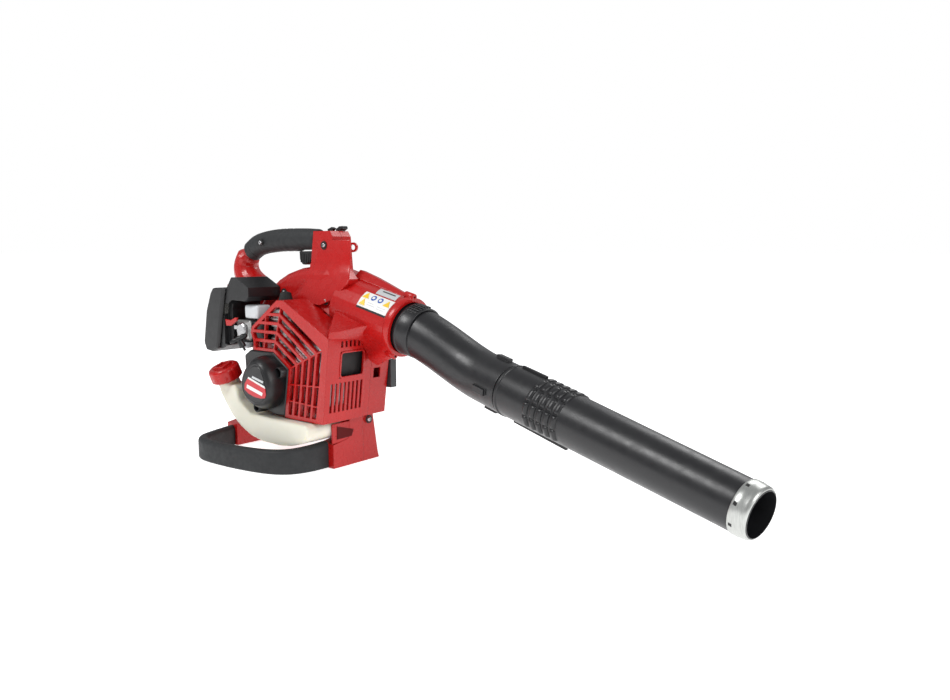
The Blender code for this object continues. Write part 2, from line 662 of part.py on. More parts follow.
def make_fuel_cap():
    """Eight-sided cap with softened corners, a skirt over the neck and a raised bar on top."""
    rings = []
    side = CAP_AXIS.cross(Vector((0, 1, 0))).normalized()
    rise = CAP_AXIS.cross(side)
    for height, reach in ((0.0010, 0.0225), (0.0030, 0.0242), (0.0190, 0.0235), (0.0240, 0.0185)):
        loop = []
        for k in range(24):
            turn = 2 * math.pi * k / 24
            spread = reach * (1 + 0.030 * math.cos(8 * turn))
            loop.append(CAP_AT + CAP_AXIS * height + side * spread * math.cos(turn)
                        + rise * spread * math.sin(turn))
        rings.append(loop)
    cap = loft("cap_body", rings)
    bar = block("cap_bar", (-0.0025, -0.0120, 0.022), (0.0025, 0.0120, 0.0262))
    bar.data.transform(frame_to(CAP_AXIS, CAP_AT))
    join(cap, bar)
    cut(cap, cylinder("cap_skirt", CAP_AT - CAP_AXIS * 0.004, CAP_AT + CAP_AXIS * 0.0010, 0.0174, 20))
    plug = cylinder("cap_plug", CAP_AT - CAP_AXIS * 0.008, CAP_AT + CAP_AXIS * 0.004, 0.0122, 20)
    join(cap, plug)
    return part(cap, "fuel_cap", RED, pivot=CAP_AT)


# Engine -----------------------------------------------------------------------------------------


def make_engine():
    case = along_crank("crankcase_body", -0.0225, 0.0225, 0.0350, 24)
    deck = block("crankcase_deck", (CRANK.x - 0.024, -0.0225, 0.140), (CRANK.x + 0.024, 0.0225, 0.1690))
    join(case, deck)
    cut(case, along_crank("crank_room", -0.0125, 0.0125, 0.0270, 24),
        along_crank("bearing_bores", -0.030, 0.030, 0.0112, 20),
        cylinder("deck_bore", (CRANK.x, 0, 0.1400), (CRANK.x, 0, 0.1800), 0.0175, 20))
    part(case, "crankcase", ALLOY)

    base = 0.1690 + GAP
    profile = [(0.0172, 0.0), (0.0235, 0.0), (0.0235, 0.0045)]
    for k in range(5):
        z = 0.0085 + 0.0098 * k
        profile += [(0.0190, z), (0.0232, z), (0.0232, z + 0.0022), (0.0190, z + 0.0022)]
    profile += [(0.0190, 0.0580), (0.0150, 0.0620), (0.0058, 0.0620), (0.0058, 0.0500), (0.0172, 0.0480)]
    barrel = turned("barrel", profile, (CRANK.x, 0.0, base), (0, 0, 1), 18, ring=True)
    part(barrel, "cylinder", ALLOY)

    piston = turned("piston_body", [(0.0, 0.0), (0.0140, 0.0), (0.0140, -0.0180), (0.0167, -0.0180),
                                    (0.0167, 0.0040), (0.0, 0.0055)][::-1],
                    (CRANK.x, 0.0, 0.2060), (0, 0, 1), 20)
    part(piston, "piston", ALLOY, pivot=(CRANK.x, 0.0, 0.2060))

    shaft = turned("shaft", [(0.0, 0.0), (0.0050, 0.0), (0.0050, 0.0255), (0.0230, 0.0255), (0.0230, 0.0325),
                             (0.0070, 0.0325), (0.0070, 0.0395), (0.0230, 0.0395), (0.0230, 0.0465),
                             (0.0050, 0.0465), (0.0050, 0.1150), (0.0, 0.1150)],
                   CRANK + Vector((0, -0.0360, 0)), (0, 1, 0), 16)
    part(shaft, "crankshaft", STEEL, pivot=CRANK)
    for name, start in (("bearing_starter_side", -0.0215), ("bearing_fan_side", 0.0140)):
        race = turned(name + "_ring", [(0.0054, 0.0), (0.0109, 0.0), (0.0109, 0.0070), (0.0054, 0.0070)],
                      CRANK + Vector((0, start, 0)), (0, 1, 0), 20, ring=True)
        part(race, name, STEEL)

    muffler = block("muffler_box", (-0.0560, -0.0230, 0.0950), (0.0060, 0.0250, 0.1860))
    soften(muffler, 0.0060, 2)
    muffler_body = baked(muffler)
    muffler_body.name = "muffler_box"
    outlet = cylinder("muffler_outlet", (0.0030, 0.0180, 0.1560), (0.0110, 0.0180, 0.1560), 0.0075, 16)
    join(muffler_body, outlet)
    cut(muffler_body, cylinder("muffler_bore", (-0.0400, 0.0180, 0.1560), (0.0200, 0.0180, 0.1560), 0.0060,
                               16))
    part(muffler_body, "muffler", STEEL)

    plug = turned("plug_body", [(0.0, 0.0), (0.0054, 0.0), (0.0054, 0.0135), (0.0085, 0.0135),
                                (0.0085, 0.0190), (0.0045, 0.0200), (0.0045, 0.0250), (0.0, 0.0250)],
                  (CRANK.x, 0.0, base + 0.0490), (0, 0, 1), 12)
    part(plug, "spark_plug", STEEL)
    boot = turned("boot_body", [(0.0, 0.0205), (0.0080, 0.0175), (0.0105, 0.0080), (0.0100, 0.0),
                                (0.0050, 0.0),
                                (0.0050, 0.0085), (0.0, 0.0085)], (CRANK.x, 0.0, base + 0.0700), (0, 0, 1),
                  14)
    part(boot, "plug_cap", RUBBER)


def make_fan():
    """Fan wheel on the crankshaft: a disc, a hub and curved-back blades."""
    centre = CRANK + Vector((0, 0.0345, 0))
    wheel = turned("fan_disc", [(0.0053, 0.0), (0.0840, 0.0), (0.0840, 0.0025), (0.0200, 0.0040),
                                (0.0150, 0.0260), (0.0053, 0.0260)], centre, (0, 1, 0), 24, ring=True)
    count = 10
    blades = []
    for k in range(count):
        turn = 2 * math.pi * k / count
        arc = []
        for side, back in ((0.0009, 1), (-0.0009, -1)):
            steps = range(4) if back == 1 else range(3, -1, -1)
            for j in steps:
                reach = 0.0360 + 0.0460 * j / 3
                lag = turn + 0.55 * (j / 3) ** 1.4
                arc.append((CRANK.x + reach * math.cos(lag) - side * math.sin(lag),
                            CRANK.z + reach * math.sin(lag) + side * math.cos(lag)))
        blades.append(prism(f"blade_{k}", arc, "Y", centre.y + 0.0012, centre.y + 0.0480))
    join(wheel, merged("fan_blades", *blades))
    part(wheel, "fan_wheel", BLACK, pivot=CRANK)
    nut = cylinder("nut_body", centre + Vector((0, 0.0263, 0)), centre + Vector((0, 0.0333, 0)), 0.0090, 6)
    cut(nut, cylinder("nut_bore", centre + Vector((0, 0.020, 0)), centre + Vector((0, 0.040, 0)), 0.0053, 16))
    part(nut, "fan_nut", STEEL, pivot=CRANK)


def make_starter_inside():
    reel = turned("reel_body", [(0.0065, 0.0), (REEL_R, 0.0), (REEL_R, 0.0020), (0.0150, 0.0030),
                                (0.0150, 0.0070), (REEL_R, 0.0080), (REEL_R, 0.0100), (0.0065, 0.0100)],
                  CRANK + Vector((0, -0.0510, 0)), (0, 1, 0), 16, ring=True)
    part(reel, "starter_reel", BLACK, pivot=CRANK)
    rope = turned("rope_turns", [(0.0154, 0.0), (0.0205, 0.0), (0.0205, 0.0034), (0.0154, 0.0034)],
                  CRANK + Vector((0, -0.0477, 0)), (0, 1, 0), 20, ring=True)
    part(rope, "starter_rope", CORD, pivot=CRANK)
    cup = turned("pawl_cup", [(0.0054, 0.0), (0.0160, 0.0), (0.0160, 0.0100), (0.0140, 0.0100),
                              (0.0140, 0.0030),
                              (0.0054, 0.0030)], CRANK + Vector((0, -0.0380, 0)), (0, 1, 0), 16, ring=True)
    part(cup, "pawl_cup", STEEL, pivot=CRANK)
    axle = turned("reel_axle_body", [(0.0, 0.0), (0.0060, 0.0), (0.0060, 0.0125), (0.0, 0.0125)],
                  CRANK + Vector((0, -0.0555, 0)), (0, 1, 0), 14)
    part(axle, "reel_axle", STEEL)
    start = Vector((-0.1520, -0.0420, 0.1740))
    grip = cylinder("pull_stem", start, start + PULL_DIR * 0.012, 0.0055, 12)
    bar = block("pull_bar", (-0.0060, -0.0150, 0.0090), (0.0060, 0.0150, 0.0190))
    bar.data.transform(frame_to(PULL_DIR, start))
    join(grip, bar)
    part(soften(grip, 0.0015), "starter_grip", BLACK, pivot=start)


# Fuel system and air cleaner --------------------------------------------------------------------

CARB_AXIS = Vector((-0.1780, 0.0, 0.1970))


def make_carburettor():
    insulator = block("insulator_body", (-0.1600, -0.0180, 0.1815), (-0.1275, 0.0180, 0.2125))
    cut(insulator, cylinder("inlet_port", (-0.170, 0, 0.1970), (-0.120, 0, 0.1970), 0.0065, 14))
    part(soften(insulator, 0.002), "intake_insulator", BLACK)
    body = block("carb_block", (-0.1960, -0.0230, 0.1815), (-0.1605, 0.0150, 0.2125))
    soften(body, 0.0030)
    cut(body, cylinder("carb_bore", (-0.210, 0.0, 0.1970), (-0.150, 0.0, 0.1970), 0.0065, 14),
        cylinder("drum_well", (CARB_AXIS.x, -0.030, CARB_AXIS.z), (CARB_AXIS.x, -0.0170, CARB_AXIS.z),
                 0.0118, 20))
    part(body, "carburettor", ALLOY)
    drum = turned("drum_body", [(0.0, 0.0), (0.0092, 0.0), (0.0112, 0.0015), (0.0112, 0.0105), (0.0, 0.0105)],
                  (CARB_AXIS.x, -0.0278, CARB_AXIS.z), (0, 1, 0), 20)
    arm = block("drum_arm", (CARB_AXIS.x - 0.0170, -0.0272, CARB_AXIS.z + 0.001),
                (CARB_AXIS.x - 0.002, -0.0248, CARB_AXIS.z + 0.0070))
    join(drum, arm)
    part(drum, "throttle_drum", STEEL, pivot=CARB_AXIS)
    bulb = turned("bulb_body", [(0.0, -0.0110), (0.0075, -0.0090), (0.0110, -0.0050), (0.0120, 0.0),
                                (0.0, 0.0)],
                  (-0.1850, -0.0100, 0.1775), (0, 0, 1), 16)
    part(bulb, "primer_bulb", CLEAR, pivot=(-0.1850, -0.0100, 0.1775))
    flange = turned("bulb_flange", [(0.0125, 0.0), (0.0165, 0.0), (0.0165, 0.0030), (0.0125, 0.0030)],
                    (-0.1850, -0.0100, 0.1782), (0, 0, 1), 18, ring=True)
    part(flange, "primer_flange", BLACK)
    vent = block("breather_body", (-0.1720, -0.0240, 0.2160), (-0.1390, 0.0030, 0.2370))
    part(soften(vent, 0.0035, 2), "breather_box", CLEAR)
    lever = prism("lever_blade", [(-0.0110, 0.0050), (-0.0090, -0.0050), (0.0030, -0.0045), (0.0180, 0.0035),
                                  (0.0200, 0.0090), (0.0150, 0.0090), (0.0030, 0.0040)], "Y", -0.0325,
                  -0.0300)
    lever.data.transform(Matrix.Translation((-0.1990, 0, 0.2080)))
    part(lever, "choke_lever", RED, pivot=(-0.1850, -0.0312, 0.2130))


def make_air_cleaner():
    """Black back plate with its arm to the fan case, leaning forward, and a grey lid over the foam."""
    base = prism("cleaner_plate", [(-0.2060, 0.1720), (-0.2190, 0.1660), (-0.2240, 0.1660), (-0.2030, 0.2620),
                                   (-0.1900, 0.2790), (-0.1790, 0.2790), (-0.1560, 0.2680), (-0.1480, 0.2640),
                                   (-0.1480, 0.2500), (-0.1560, 0.2430), (-0.1900, 0.2440), (-0.1985, 0.2390),
                                   (-0.2005, 0.2300), (-0.2005, 0.1850)],
                 "Y", -0.0330, 0.0270)
    cut(base, cylinder("cleaner_bore", (-0.250, 0, 0.1970), (-0.190, 0, 0.1970), 0.0070, 14),
        block("cleaner_side_room", (-0.2120, -0.0500, 0.1740), (-0.1900, -0.0250, 0.2380)))
    part(soften(base, 0.0012), "air_cleaner_base", BLACK)
    mouth = turned("mouth_body", [(0.0070, 0.0), (0.0100, 0.0), (0.0100, 0.0036), (0.0070, 0.0036)],
                   (-0.2001, 0, 0.1970), (1, 0, 0), 16, ring=True)
    part(mouth, "inlet_gasket", RUBBER)
    lid = prism("lid_body", [(-0.2248, 0.1660), (-0.2400, 0.1600), (-0.2580, 0.1620), (-0.2640, 0.1740),
                             (-0.2540, 0.2260), (-0.2420, 0.2530), (-0.2340, 0.2620), (-0.2038, 0.2620)],
                "Y", -0.0380, 0.0270)
    soften(lid, 0.0040, 2, 30)
    shell = baked(lid)
    shell.name = "lid_shell"
    cut(shell, prism("lid_inside", [(-0.2100, 0.1700), (-0.2520, 0.1700), (-0.2420, 0.2200),
                                    (-0.2300, 0.2540), (-0.2000, 0.2540)], "Y", -0.0340, 0.0240))
    part(shell, "air_cleaner_lid", BLACK, pivot=(-0.2248, -0.0050, 0.1660))
    foam = prism("foam_body", [(-0.2236, 0.1740), (-0.2440, 0.1740), (-0.2290, 0.2500), (-0.2064, 0.2500)],
                 "Y", -0.0310, 0.0210)
    part(foam, "air_filter", FOAM)
    latch = prism("latch_blade", [(-0.2260, 0.2626), (-0.2120, 0.2626), (-0.2060, 0.2690), (-0.2060, 0.2740),
                                  (-0.2110, 0.2760), (-0.2180, 0.2680), (-0.2260, 0.2665)], "Y", -0.0160,
                  -0.0010)
    part(latch, "lid_latch", RED, pivot=(-0.2070, -0.0085, 0.2730))


def make_hoses():
    """Hoses and the cable that the machine holds all the way, and the coil on the crankcase."""
    fuel = smooth_path([(-0.1800, 0.0110, 0.1795), (-0.1840, 0.0150, 0.1600), (-0.1840, 0.0120, 0.1360),
                        (-0.1820, 0.0060, 0.1180)], 3)
    part(wire("fuel_hose", fuel, 0.0022), "fuel_line", RUBBER)
    back = smooth_path([(-0.1635, -0.0080, 0.1795), (-0.1660, -0.0120, 0.1640), (-0.1730, -0.0150, 0.1400),
                        (-0.1740, -0.0140, 0.1180)], 3)
    part(wire("return_hose", back, 0.0022), "return_line", RUBBER)
    cable = smooth_path([(-0.0780, 0.0620, 0.3020), (-0.0680, 0.0600, 0.3100), (-0.0600, 0.0580, 0.3300)], 3)
    part(wire("cable_in_post", cable, 0.0018), "throttle_cable", RUBBER)
    coil = block("coil_body", (-0.1540, -0.0120, 0.1300), (-0.1400, 0.0120, 0.1560))
    part(soften(coil, 0.002), "ignition_coil", BLACK)


# Air pipe ---------------------------------------------------------------------------------------


def elbow_line():
    """Centre of the elbow: a smooth S from the duct's outlet to the bend, then straight."""
    start, end = DUCT_OUT + DUCT_DIR * 0.004, PIPE_BEND
    lean = 0.050
    first, second = start + DUCT_DIR * lean, end - PIPE_DIR * lean
    line = []
    for k in range(8):
        t = k / 7
        line.append(start * (1 - t) ** 3 + first * 3 * t * (1 - t) ** 2 + second * 3 * t * t * (1 - t)
                    + end * t ** 3)
    return [start - DUCT_DIR * 0.024] + line + [end + PIPE_DIR * (PIPE_START - 0.0025)]


def make_elbow():
    line = elbow_line()
    outer, inner = [], []
    last = len(line) - 1
    for i, spot in enumerate(line):
        ahead = line[min(i + 1, last)] - line[max(i - 1, 0)]
        if i <= 1:
            ahead = DUCT_DIR
        radius = ELBOW_R0 + (ELBOW_R1 - ELBOW_R0) * i / last
        outer.append(ring(spot, ahead, radius, radius, 20))
        inner.append(ring(spot, ahead, radius - PIPE_WALL, radius - PIPE_WALL, 20))
    for distance in (PIPE_START - 0.0015, PIPE_START + 0.0300):
        spot = PIPE_BEND + PIPE_DIR * distance
        outer.append(ring(spot, PIPE_DIR, SPIGOT_R, SPIGOT_R, 20))
        inner.append(ring(spot, PIPE_DIR, SPIGOT_R - PIPE_WALL, SPIGOT_R - PIPE_WALL, 20))
    pipe = loft("elbow_body", outer + inner[::-1], closed=True)
    collar = turned("elbow_collar", [(0.0340, 0.0), (0.0378, 0.0), (0.0378, 0.0140), (0.0362, 0.0160),
                                     (0.0340, 0.0160)],
                    DUCT_OUT + DUCT_DIR * 0.0045, DUCT_DIR, 20, ring=True)
    join(pipe, collar)
    return part(pipe, "elbow_pipe", PIPE_BLACK, pivot=DUCT_OUT)


def pipe_radius(along):
    share = (along - PIPE_START) / (PIPE_END - PIPE_START)
    return 0.0335 + (NOZZLE_R - 0.0335) * share


def along_pipe(distance):
    return PIPE_BEND + PIPE_DIR * distance


def make_straight_pipe():
    """Tapered pipe with two long keys and a ribbed hand grip near its inlet."""
    rings = []
    stations = [PIPE_START, 0.16, 0.28, PIPE_END - 0.0195, PIPE_END]
    for spot in stations:
        radius = pipe_radius(spot)
        if spot == PIPE_END:
            radius -= 0.0014
        rings.append(ring(along_pipe(spot), PIPE_DIR, radius, radius, 22))
    for spot in stations[::-1]:
        radius = pipe_radius(spot) - PIPE_WALL - 0.0010
        rings.append(ring(along_pipe(spot), PIPE_DIR, radius, radius, 22))
    pipe = loft("pipe_body", rings, closed=True)
    frame = frame_to(PIPE_DIR, PIPE_BEND)
    for name, turn, start, end in (("key_top", 82, 0.0575, 0.1465), ("key_foot", -98, 0.0665, 0.1590)):
        key = block(name, (0.0312, -0.0020, start), (0.0368, 0.0020, end))
        turned_key = frame @ Matrix.Rotation(math.radians(turn), 4, "Z")
        key.data.transform(turned_key)
        join(pipe, key)
    return part(pipe, "straight_pipe", PIPE_BLACK, pivot=along_pipe(PIPE_START))


def make_nozzle_ring():
    start = PIPE_END - 0.0190
    radius = pipe_radius(start) + GAP
    band = turned("ring_band", [(radius, 0.0), (radius + 0.0010, 0.0), (radius + 0.0010, 0.0120),
                                (radius + 0.0004, 0.0150), (radius - 0.0006, 0.0175),
                                (radius - 0.0010, 0.0175), (radius - 0.0004, 0.0140)],
                  along_pipe(start), PIPE_DIR, 24, ring=True)
    return part(band, "nozzle_ring", RING, pivot=along_pipe(start))


# Controls and small pieces ----------------------------------------------------------------------


def make_controls():
    trigger = prism("trigger_blade", [(-0.1320, 0.3190), (-0.1310, 0.3060), (-0.1250, 0.2985),
                                      (-0.1190, 0.2980),
                                      (-0.0985, 0.3060), (-0.0940, 0.3170), (-0.0950, 0.3195)], "Y",
                    0.0535, 0.0665)
    part(soften(trigger, 0.0012), "throttle_trigger", BLACK, pivot=(-0.0960, HANDLE_Y, 0.3150))
    lever = prism("cruise_blade", [(-0.0745, 0.3440), (-0.0655, 0.3440), (-0.0650, 0.3500), (-0.0600, 0.3540),
                                   (-0.0660, 0.3560), (-0.0750, 0.3530)], "Y", 0.0635, 0.0695)
    part(lever, "cruise_lever", BLACK, pivot=(-0.0700, 0.0665, 0.3460))
    switch = prism("switch_blade", [(-0.0580, 0.3499), (-0.0480, 0.3499), (-0.0420, 0.3530),
                                    (-0.0430, 0.3572),
                                    (-0.0510, 0.3568), (-0.0580, 0.3525)], "Y", 0.0645, 0.0765)
    part(soften(switch, 0.001), "stop_switch", BLACK, pivot=(-0.0530, 0.0705, 0.3500))
    clip = turned("eyelet_ring", [(0.0042, 0.0), (0.0075, 0.0), (0.0075, 0.0040), (0.0042, 0.0040)],
                  (-0.0300, 0.0760, 0.3250), (0.3, -0.95, 0.0), 18, ring=True)
    join(clip, block("eyelet_tab", (-0.0382, 0.0725, 0.3215), (-0.0350, 0.0755, 0.3285)))
    part(clip, "cable_eyelet", RED)


def make_screws():
    """Pan-head screws, each in its own recess, seen from the starter side."""
    spots = {
        "screw_grip": (-0.2120, 0.0412, 0.3330),
        "screw_post": (-0.0560, 0.0398, 0.3280),
        "screw_case_top": (-0.0330, 0.0205, 0.2460),
        "screw_case_rear": (-0.1380, 0.0278, 0.2550),
        "screw_front_foot": (0.0020, 0.0700, 0.0640),
    }
    for name, spot in spots.items():
        way = Vector((1, 0, 0)) if name == "screw_front_foot" else Vector((0, -1, 0))
        head = turned(name + "_head", [(0.0, 0.0), (0.0036, 0.0), (0.0036, 0.0018), (0.0020, 0.0030),
                                       (0.0, 0.0030)],
                      Vector(spot) + way * GAP, way, 12)
        part(head, name, STEEL)


def build():
    tools = make_case_tools()
    make_case_half("fan_case_inner", tools, CASE_NEAR - 0.1, SPLIT - GAP / 2)
    make_case_half("fan_case_outer", tools, SPLIT + GAP / 2, CASE_FAR + 0.1)
    make_grip()
    make_stand()
    make_intake_guard()
    make_cover()
    make_starter()
    make_tank()
    make_fuel_cap()
    make_engine()
    make_fan()
    make_starter_inside()
    make_carburettor()
    make_air_cleaner()
    make_hoses()
    make_elbow()
    make_straight_pipe()
    make_nozzle_ring()
    make_controls()
    make_screws()


build()
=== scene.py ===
import json
import math

import bmesh
import bpy
from mathutils import Matrix, Vector


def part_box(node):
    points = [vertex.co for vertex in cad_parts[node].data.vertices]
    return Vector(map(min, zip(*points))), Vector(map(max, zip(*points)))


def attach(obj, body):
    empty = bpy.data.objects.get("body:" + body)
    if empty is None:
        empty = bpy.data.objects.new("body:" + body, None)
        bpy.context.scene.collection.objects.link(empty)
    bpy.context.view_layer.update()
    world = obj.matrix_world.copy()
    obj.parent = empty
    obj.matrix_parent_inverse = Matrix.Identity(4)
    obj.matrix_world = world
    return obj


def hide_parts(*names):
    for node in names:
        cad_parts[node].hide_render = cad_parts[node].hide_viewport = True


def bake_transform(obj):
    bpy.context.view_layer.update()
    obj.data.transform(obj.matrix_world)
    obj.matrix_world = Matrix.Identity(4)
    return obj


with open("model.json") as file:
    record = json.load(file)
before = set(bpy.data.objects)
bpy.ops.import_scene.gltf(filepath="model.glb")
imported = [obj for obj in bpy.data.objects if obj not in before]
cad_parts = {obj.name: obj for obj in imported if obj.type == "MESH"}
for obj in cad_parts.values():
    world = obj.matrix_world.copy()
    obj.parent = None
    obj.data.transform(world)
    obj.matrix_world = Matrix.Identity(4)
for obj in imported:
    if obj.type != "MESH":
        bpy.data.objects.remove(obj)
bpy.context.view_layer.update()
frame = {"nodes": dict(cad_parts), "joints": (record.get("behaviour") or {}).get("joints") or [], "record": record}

# Driving places -----------------------------------------------------------------------------------
# All of them come from the frame. at() counts from the front foot's outer corner on the ground,
# which lies 100 mm ahead of the crankshaft's axis.

JOINTS = {joint["name"]: joint for joint in frame["joints"]}
CRANK = Vector(JOINTS["rotor_spin"]["pos_m"])
DATUM = CRANK - Vector((-0.100, 0.0, 0.130))
DUCT_OUT = Vector(JOINTS["elbow_turn"]["pos_m"])
DUCT_DIR = Vector(JOINTS["elbow_turn"]["axis"]).normalized()
PIPE_DIR = Vector(JOINTS["pipe_push"]["axis"]).normalized()
CAP_AT = Vector(JOINTS["cap_turn"]["pos_m"])
CAP_AXIS = Vector(JOINTS["cap_turn"]["axis"]).normalized()


def at(x, y, z):
    return DATUM + Vector((x, y, z))


PIPE_BEND = at(0.242, 0.056, 0.153)
PIPE_START, PIPE_END = 0.050, 0.4065    # along PIPE_DIR from the bend
PIPE_R0, PIPE_R1 = 0.0335, 0.0282
PIPE_WALL = 0.0030
DUCT_R = 0.0405
ELBOW_R, ELBOW_WALL = 0.0352, 0.0022
TAIL_LENGTH = 0.024                     # of the elbow inside the duct
CAMERA_AT = at(0.877, -0.773, 0.320)
CAMERA_TURN, CAMERA_FALL = math.radians(38.35), math.radians(7.08)
CAMERA_LENS = 30.316                    # mm on a 36 mm sensor
LAMP_AIM = Vector((0.0, 0.0, 0.15))
FLOOR_REACH = 80.0
DOME_LIGHT = 0.42
FLOOR_GLOW = 0.72
LAMPS = (("key", (-1.0, -1.8, 2.4), 1.0, 44.0), ("side", (2.6, -0.5, 1.6), 1.2, 30.0),
         ("back", (0.2, 2.4, 2.2), 1.6, 30.0))

# Materials ----------------------------------------------------------------------------------------


class Shader:
    """A Principled material with helpers that add its grain, tint and wear."""

    def __init__(self, name, roughness, metallic=0.0):
        self.material = bpy.data.materials.new(name)
        self.material.use_nodes = True
        self.nodes = self.material.node_tree.nodes
        self.links = self.material.node_tree.links
        self.shader = self.nodes["Principled BSDF"]
        self.shader.inputs["Roughness"].default_value = roughness
        self.shader.inputs["Metallic"].default_value = metallic
        self.place = self.nodes.new("ShaderNodeTexCoord").outputs["Object"]

    def stretched(self, scale):
        mapping = self.nodes.new("ShaderNodeMapping")
        mapping.inputs["Scale"].default_value = scale
        self.links.new(self.place, mapping.inputs["Vector"])
        return mapping.outputs["Vector"]

    def noise(self, scale, detail=3.0, place=None):
        made = self.nodes.new("ShaderNodeTexNoise")
        made.inputs["Scale"].default_value = scale
        made.inputs["Detail"].default_value = detail
        self.links.new(place or self.place, made.inputs["Vector"])
        return made.outputs["Fac"]

    def cells(self, scale):
        made = self.nodes.new("ShaderNodeTexVoronoi")
        made.inputs["Scale"].default_value = scale
        self.links.new(self.place, made.inputs["Vector"])
        return made.outputs["Distance"]

    def tint(self, dark, light, factor):
        """Base colour that wanders between two shades as factor does."""
        ramp = self.nodes.new("ShaderNodeValToRGB")
        ramp.color_ramp.elements[0].position = 0.30
        ramp.color_ramp.elements[1].position = 0.70
        ramp.color_ramp.elements[0].color = (*dark, 1.0)
        ramp.color_ramp.elements[1].color = (*light, 1.0)
        self.links.new(factor, ramp.inputs["Fac"])
        self.links.new(ramp.outputs["Color"], self.shader.inputs["Base Color"])

    def vary_roughness(self, low, high, factor):
        scale = self.nodes.new("ShaderNodeMapRange")
        scale.inputs["From Min"].default_value = 0.3
        scale.inputs["From Max"].default_value = 0.7
        scale.inputs["To Min"].default_value = low
        scale.inputs["To Max"].default_value = high
        self.links.new(factor, scale.inputs["Value"])
        self.links.new(scale.outputs["Result"], self.shader.inputs["Roughness"])

    def bump(self, factor, depth, strength=1.0, edge=0.0):
        """Relief of that depth in metres. edge rounds corners by that radius."""
        made = self.nodes.new("ShaderNodeBump")
        made.inputs["Strength"].default_value = strength
        made.inputs["Distance"].default_value = depth
        self.links.new(factor, made.inputs["Height"])
        if edge:
            rounded = self.nodes.new("ShaderNodeBevel")
            rounded.samples = 6
            rounded.inputs["Radius"].default_value = edge
            self.links.new(rounded.outputs["Normal"], made.inputs["Normal"])
        self.links.new(made.outputs["Normal"], self.shader.inputs["Normal"])

    def put(self, **values):
        for name, value in values.items():
            self.shader.inputs[name.replace("_", " ")].default_value = value


def shades(colour, spread):
    return [channel * (1 - spread) for channel in colour], [channel * (1 + spread) for channel in colour]


def moulded(name, colour, rough, grain=1100.0, depth=0.00006, spread=0.07, edge=0.0010, **extra):
    """Injection-moulded plastic: faint flow marks in the colour, fine grain and rounded edges."""
    made = Shader(name, rough)
    flow = made.noise(26.0, 4.0)
    made.tint(*shades(colour, spread), flow)
    made.vary_roughness(rough - 0.05, rough + 0.07, made.noise(90.0, 5.0))
    made.bump(made.noise(grain, 2.0), depth, 0.7, edge)
    made.put(**extra)
    return made.material


def soft_touch(name, colour, rough=0.62):
    """Rubber with a stipple of small domes."""
    made = Shader(name, rough)
    made.tint(*shades(colour, 0.12), made.noise(40.0, 4.0))
    made.vary_roughness(rough - 0.08, rough + 0.08, made.noise(150.0, 4.0))
    made.bump(made.cells(900.0), 0.00018, 0.6, 0.0012)
    made.put(Specular_IOR_Level=0.42)
    return made.material


def metal(name, colour, rough, stretch=(1.0, 1.0, 1.0), grain=500.0, depth=0.00006, edge=0.0006):
    """Metal with a drawn or cast surface, depending on stretch."""
    made = Shader(name, rough, 1.0)
    lines = made.stretched(stretch)
    made.tint(*shades(colour, 0.10), made.noise(120.0, 5.0, lines))
    made.vary_roughness(rough - 0.09, rough + 0.10, made.noise(grain, 4.0, lines))
    made.bump(made.noise(grain, 4.0, lines), depth, 0.8, edge)
    return made.material


def printed(name, colour, rough=0.35):
    """Ink or foil on a label: nearly even, with a slight orange-peel."""
    made = Shader(name, rough)
    made.tint(*shades(colour, 0.025), made.noise(60.0, 2.0))
    made.bump(made.noise(500.0, 2.0), 0.00002, 0.5)
    return made.material


def tank_material():
    """Milky polyethylene whose tone wanders a little in broad patches."""
    made = Shader("tank_plastic_look", 0.42)
    made.tint((0.70, 0.675, 0.555), (0.79, 0.775, 0.68), made.noise(14.0, 3.0))
    made.vary_roughness(0.36, 0.50, made.noise(120.0, 3.0))
    made.bump(made.noise(700.0, 2.0), 0.00008, 0.5, 0.002)
    made.put(Subsurface_Weight=0.35, Subsurface_Radius=(0.012, 0.010, 0.006), Subsurface_Scale=1.0)
    return made.material


def foam_material():
    made = Shader("filter_foam_look", 0.95)
    made.tint((0.03, 0.03, 0.028), (0.11, 0.11, 0.10), made.cells(700.0))
    made.bump(made.cells(700.0), 0.0006, 1.0)
    return made.material


def rope_material():
    made = Shader("cord_look", 0.85)
    wave = made.nodes.new("ShaderNodeTexWave")
    wave.bands_direction = "DIAGONAL"
    wave.inputs["Scale"].default_value = 260.0
    made.links.new(made.place, wave.inputs["Vector"])
    made.tint((0.02, 0.02, 0.02), (0.09, 0.09, 0.09), wave.outputs["Fac"])
    made.bump(wave.outputs["Fac"], 0.0004)
    return made.material


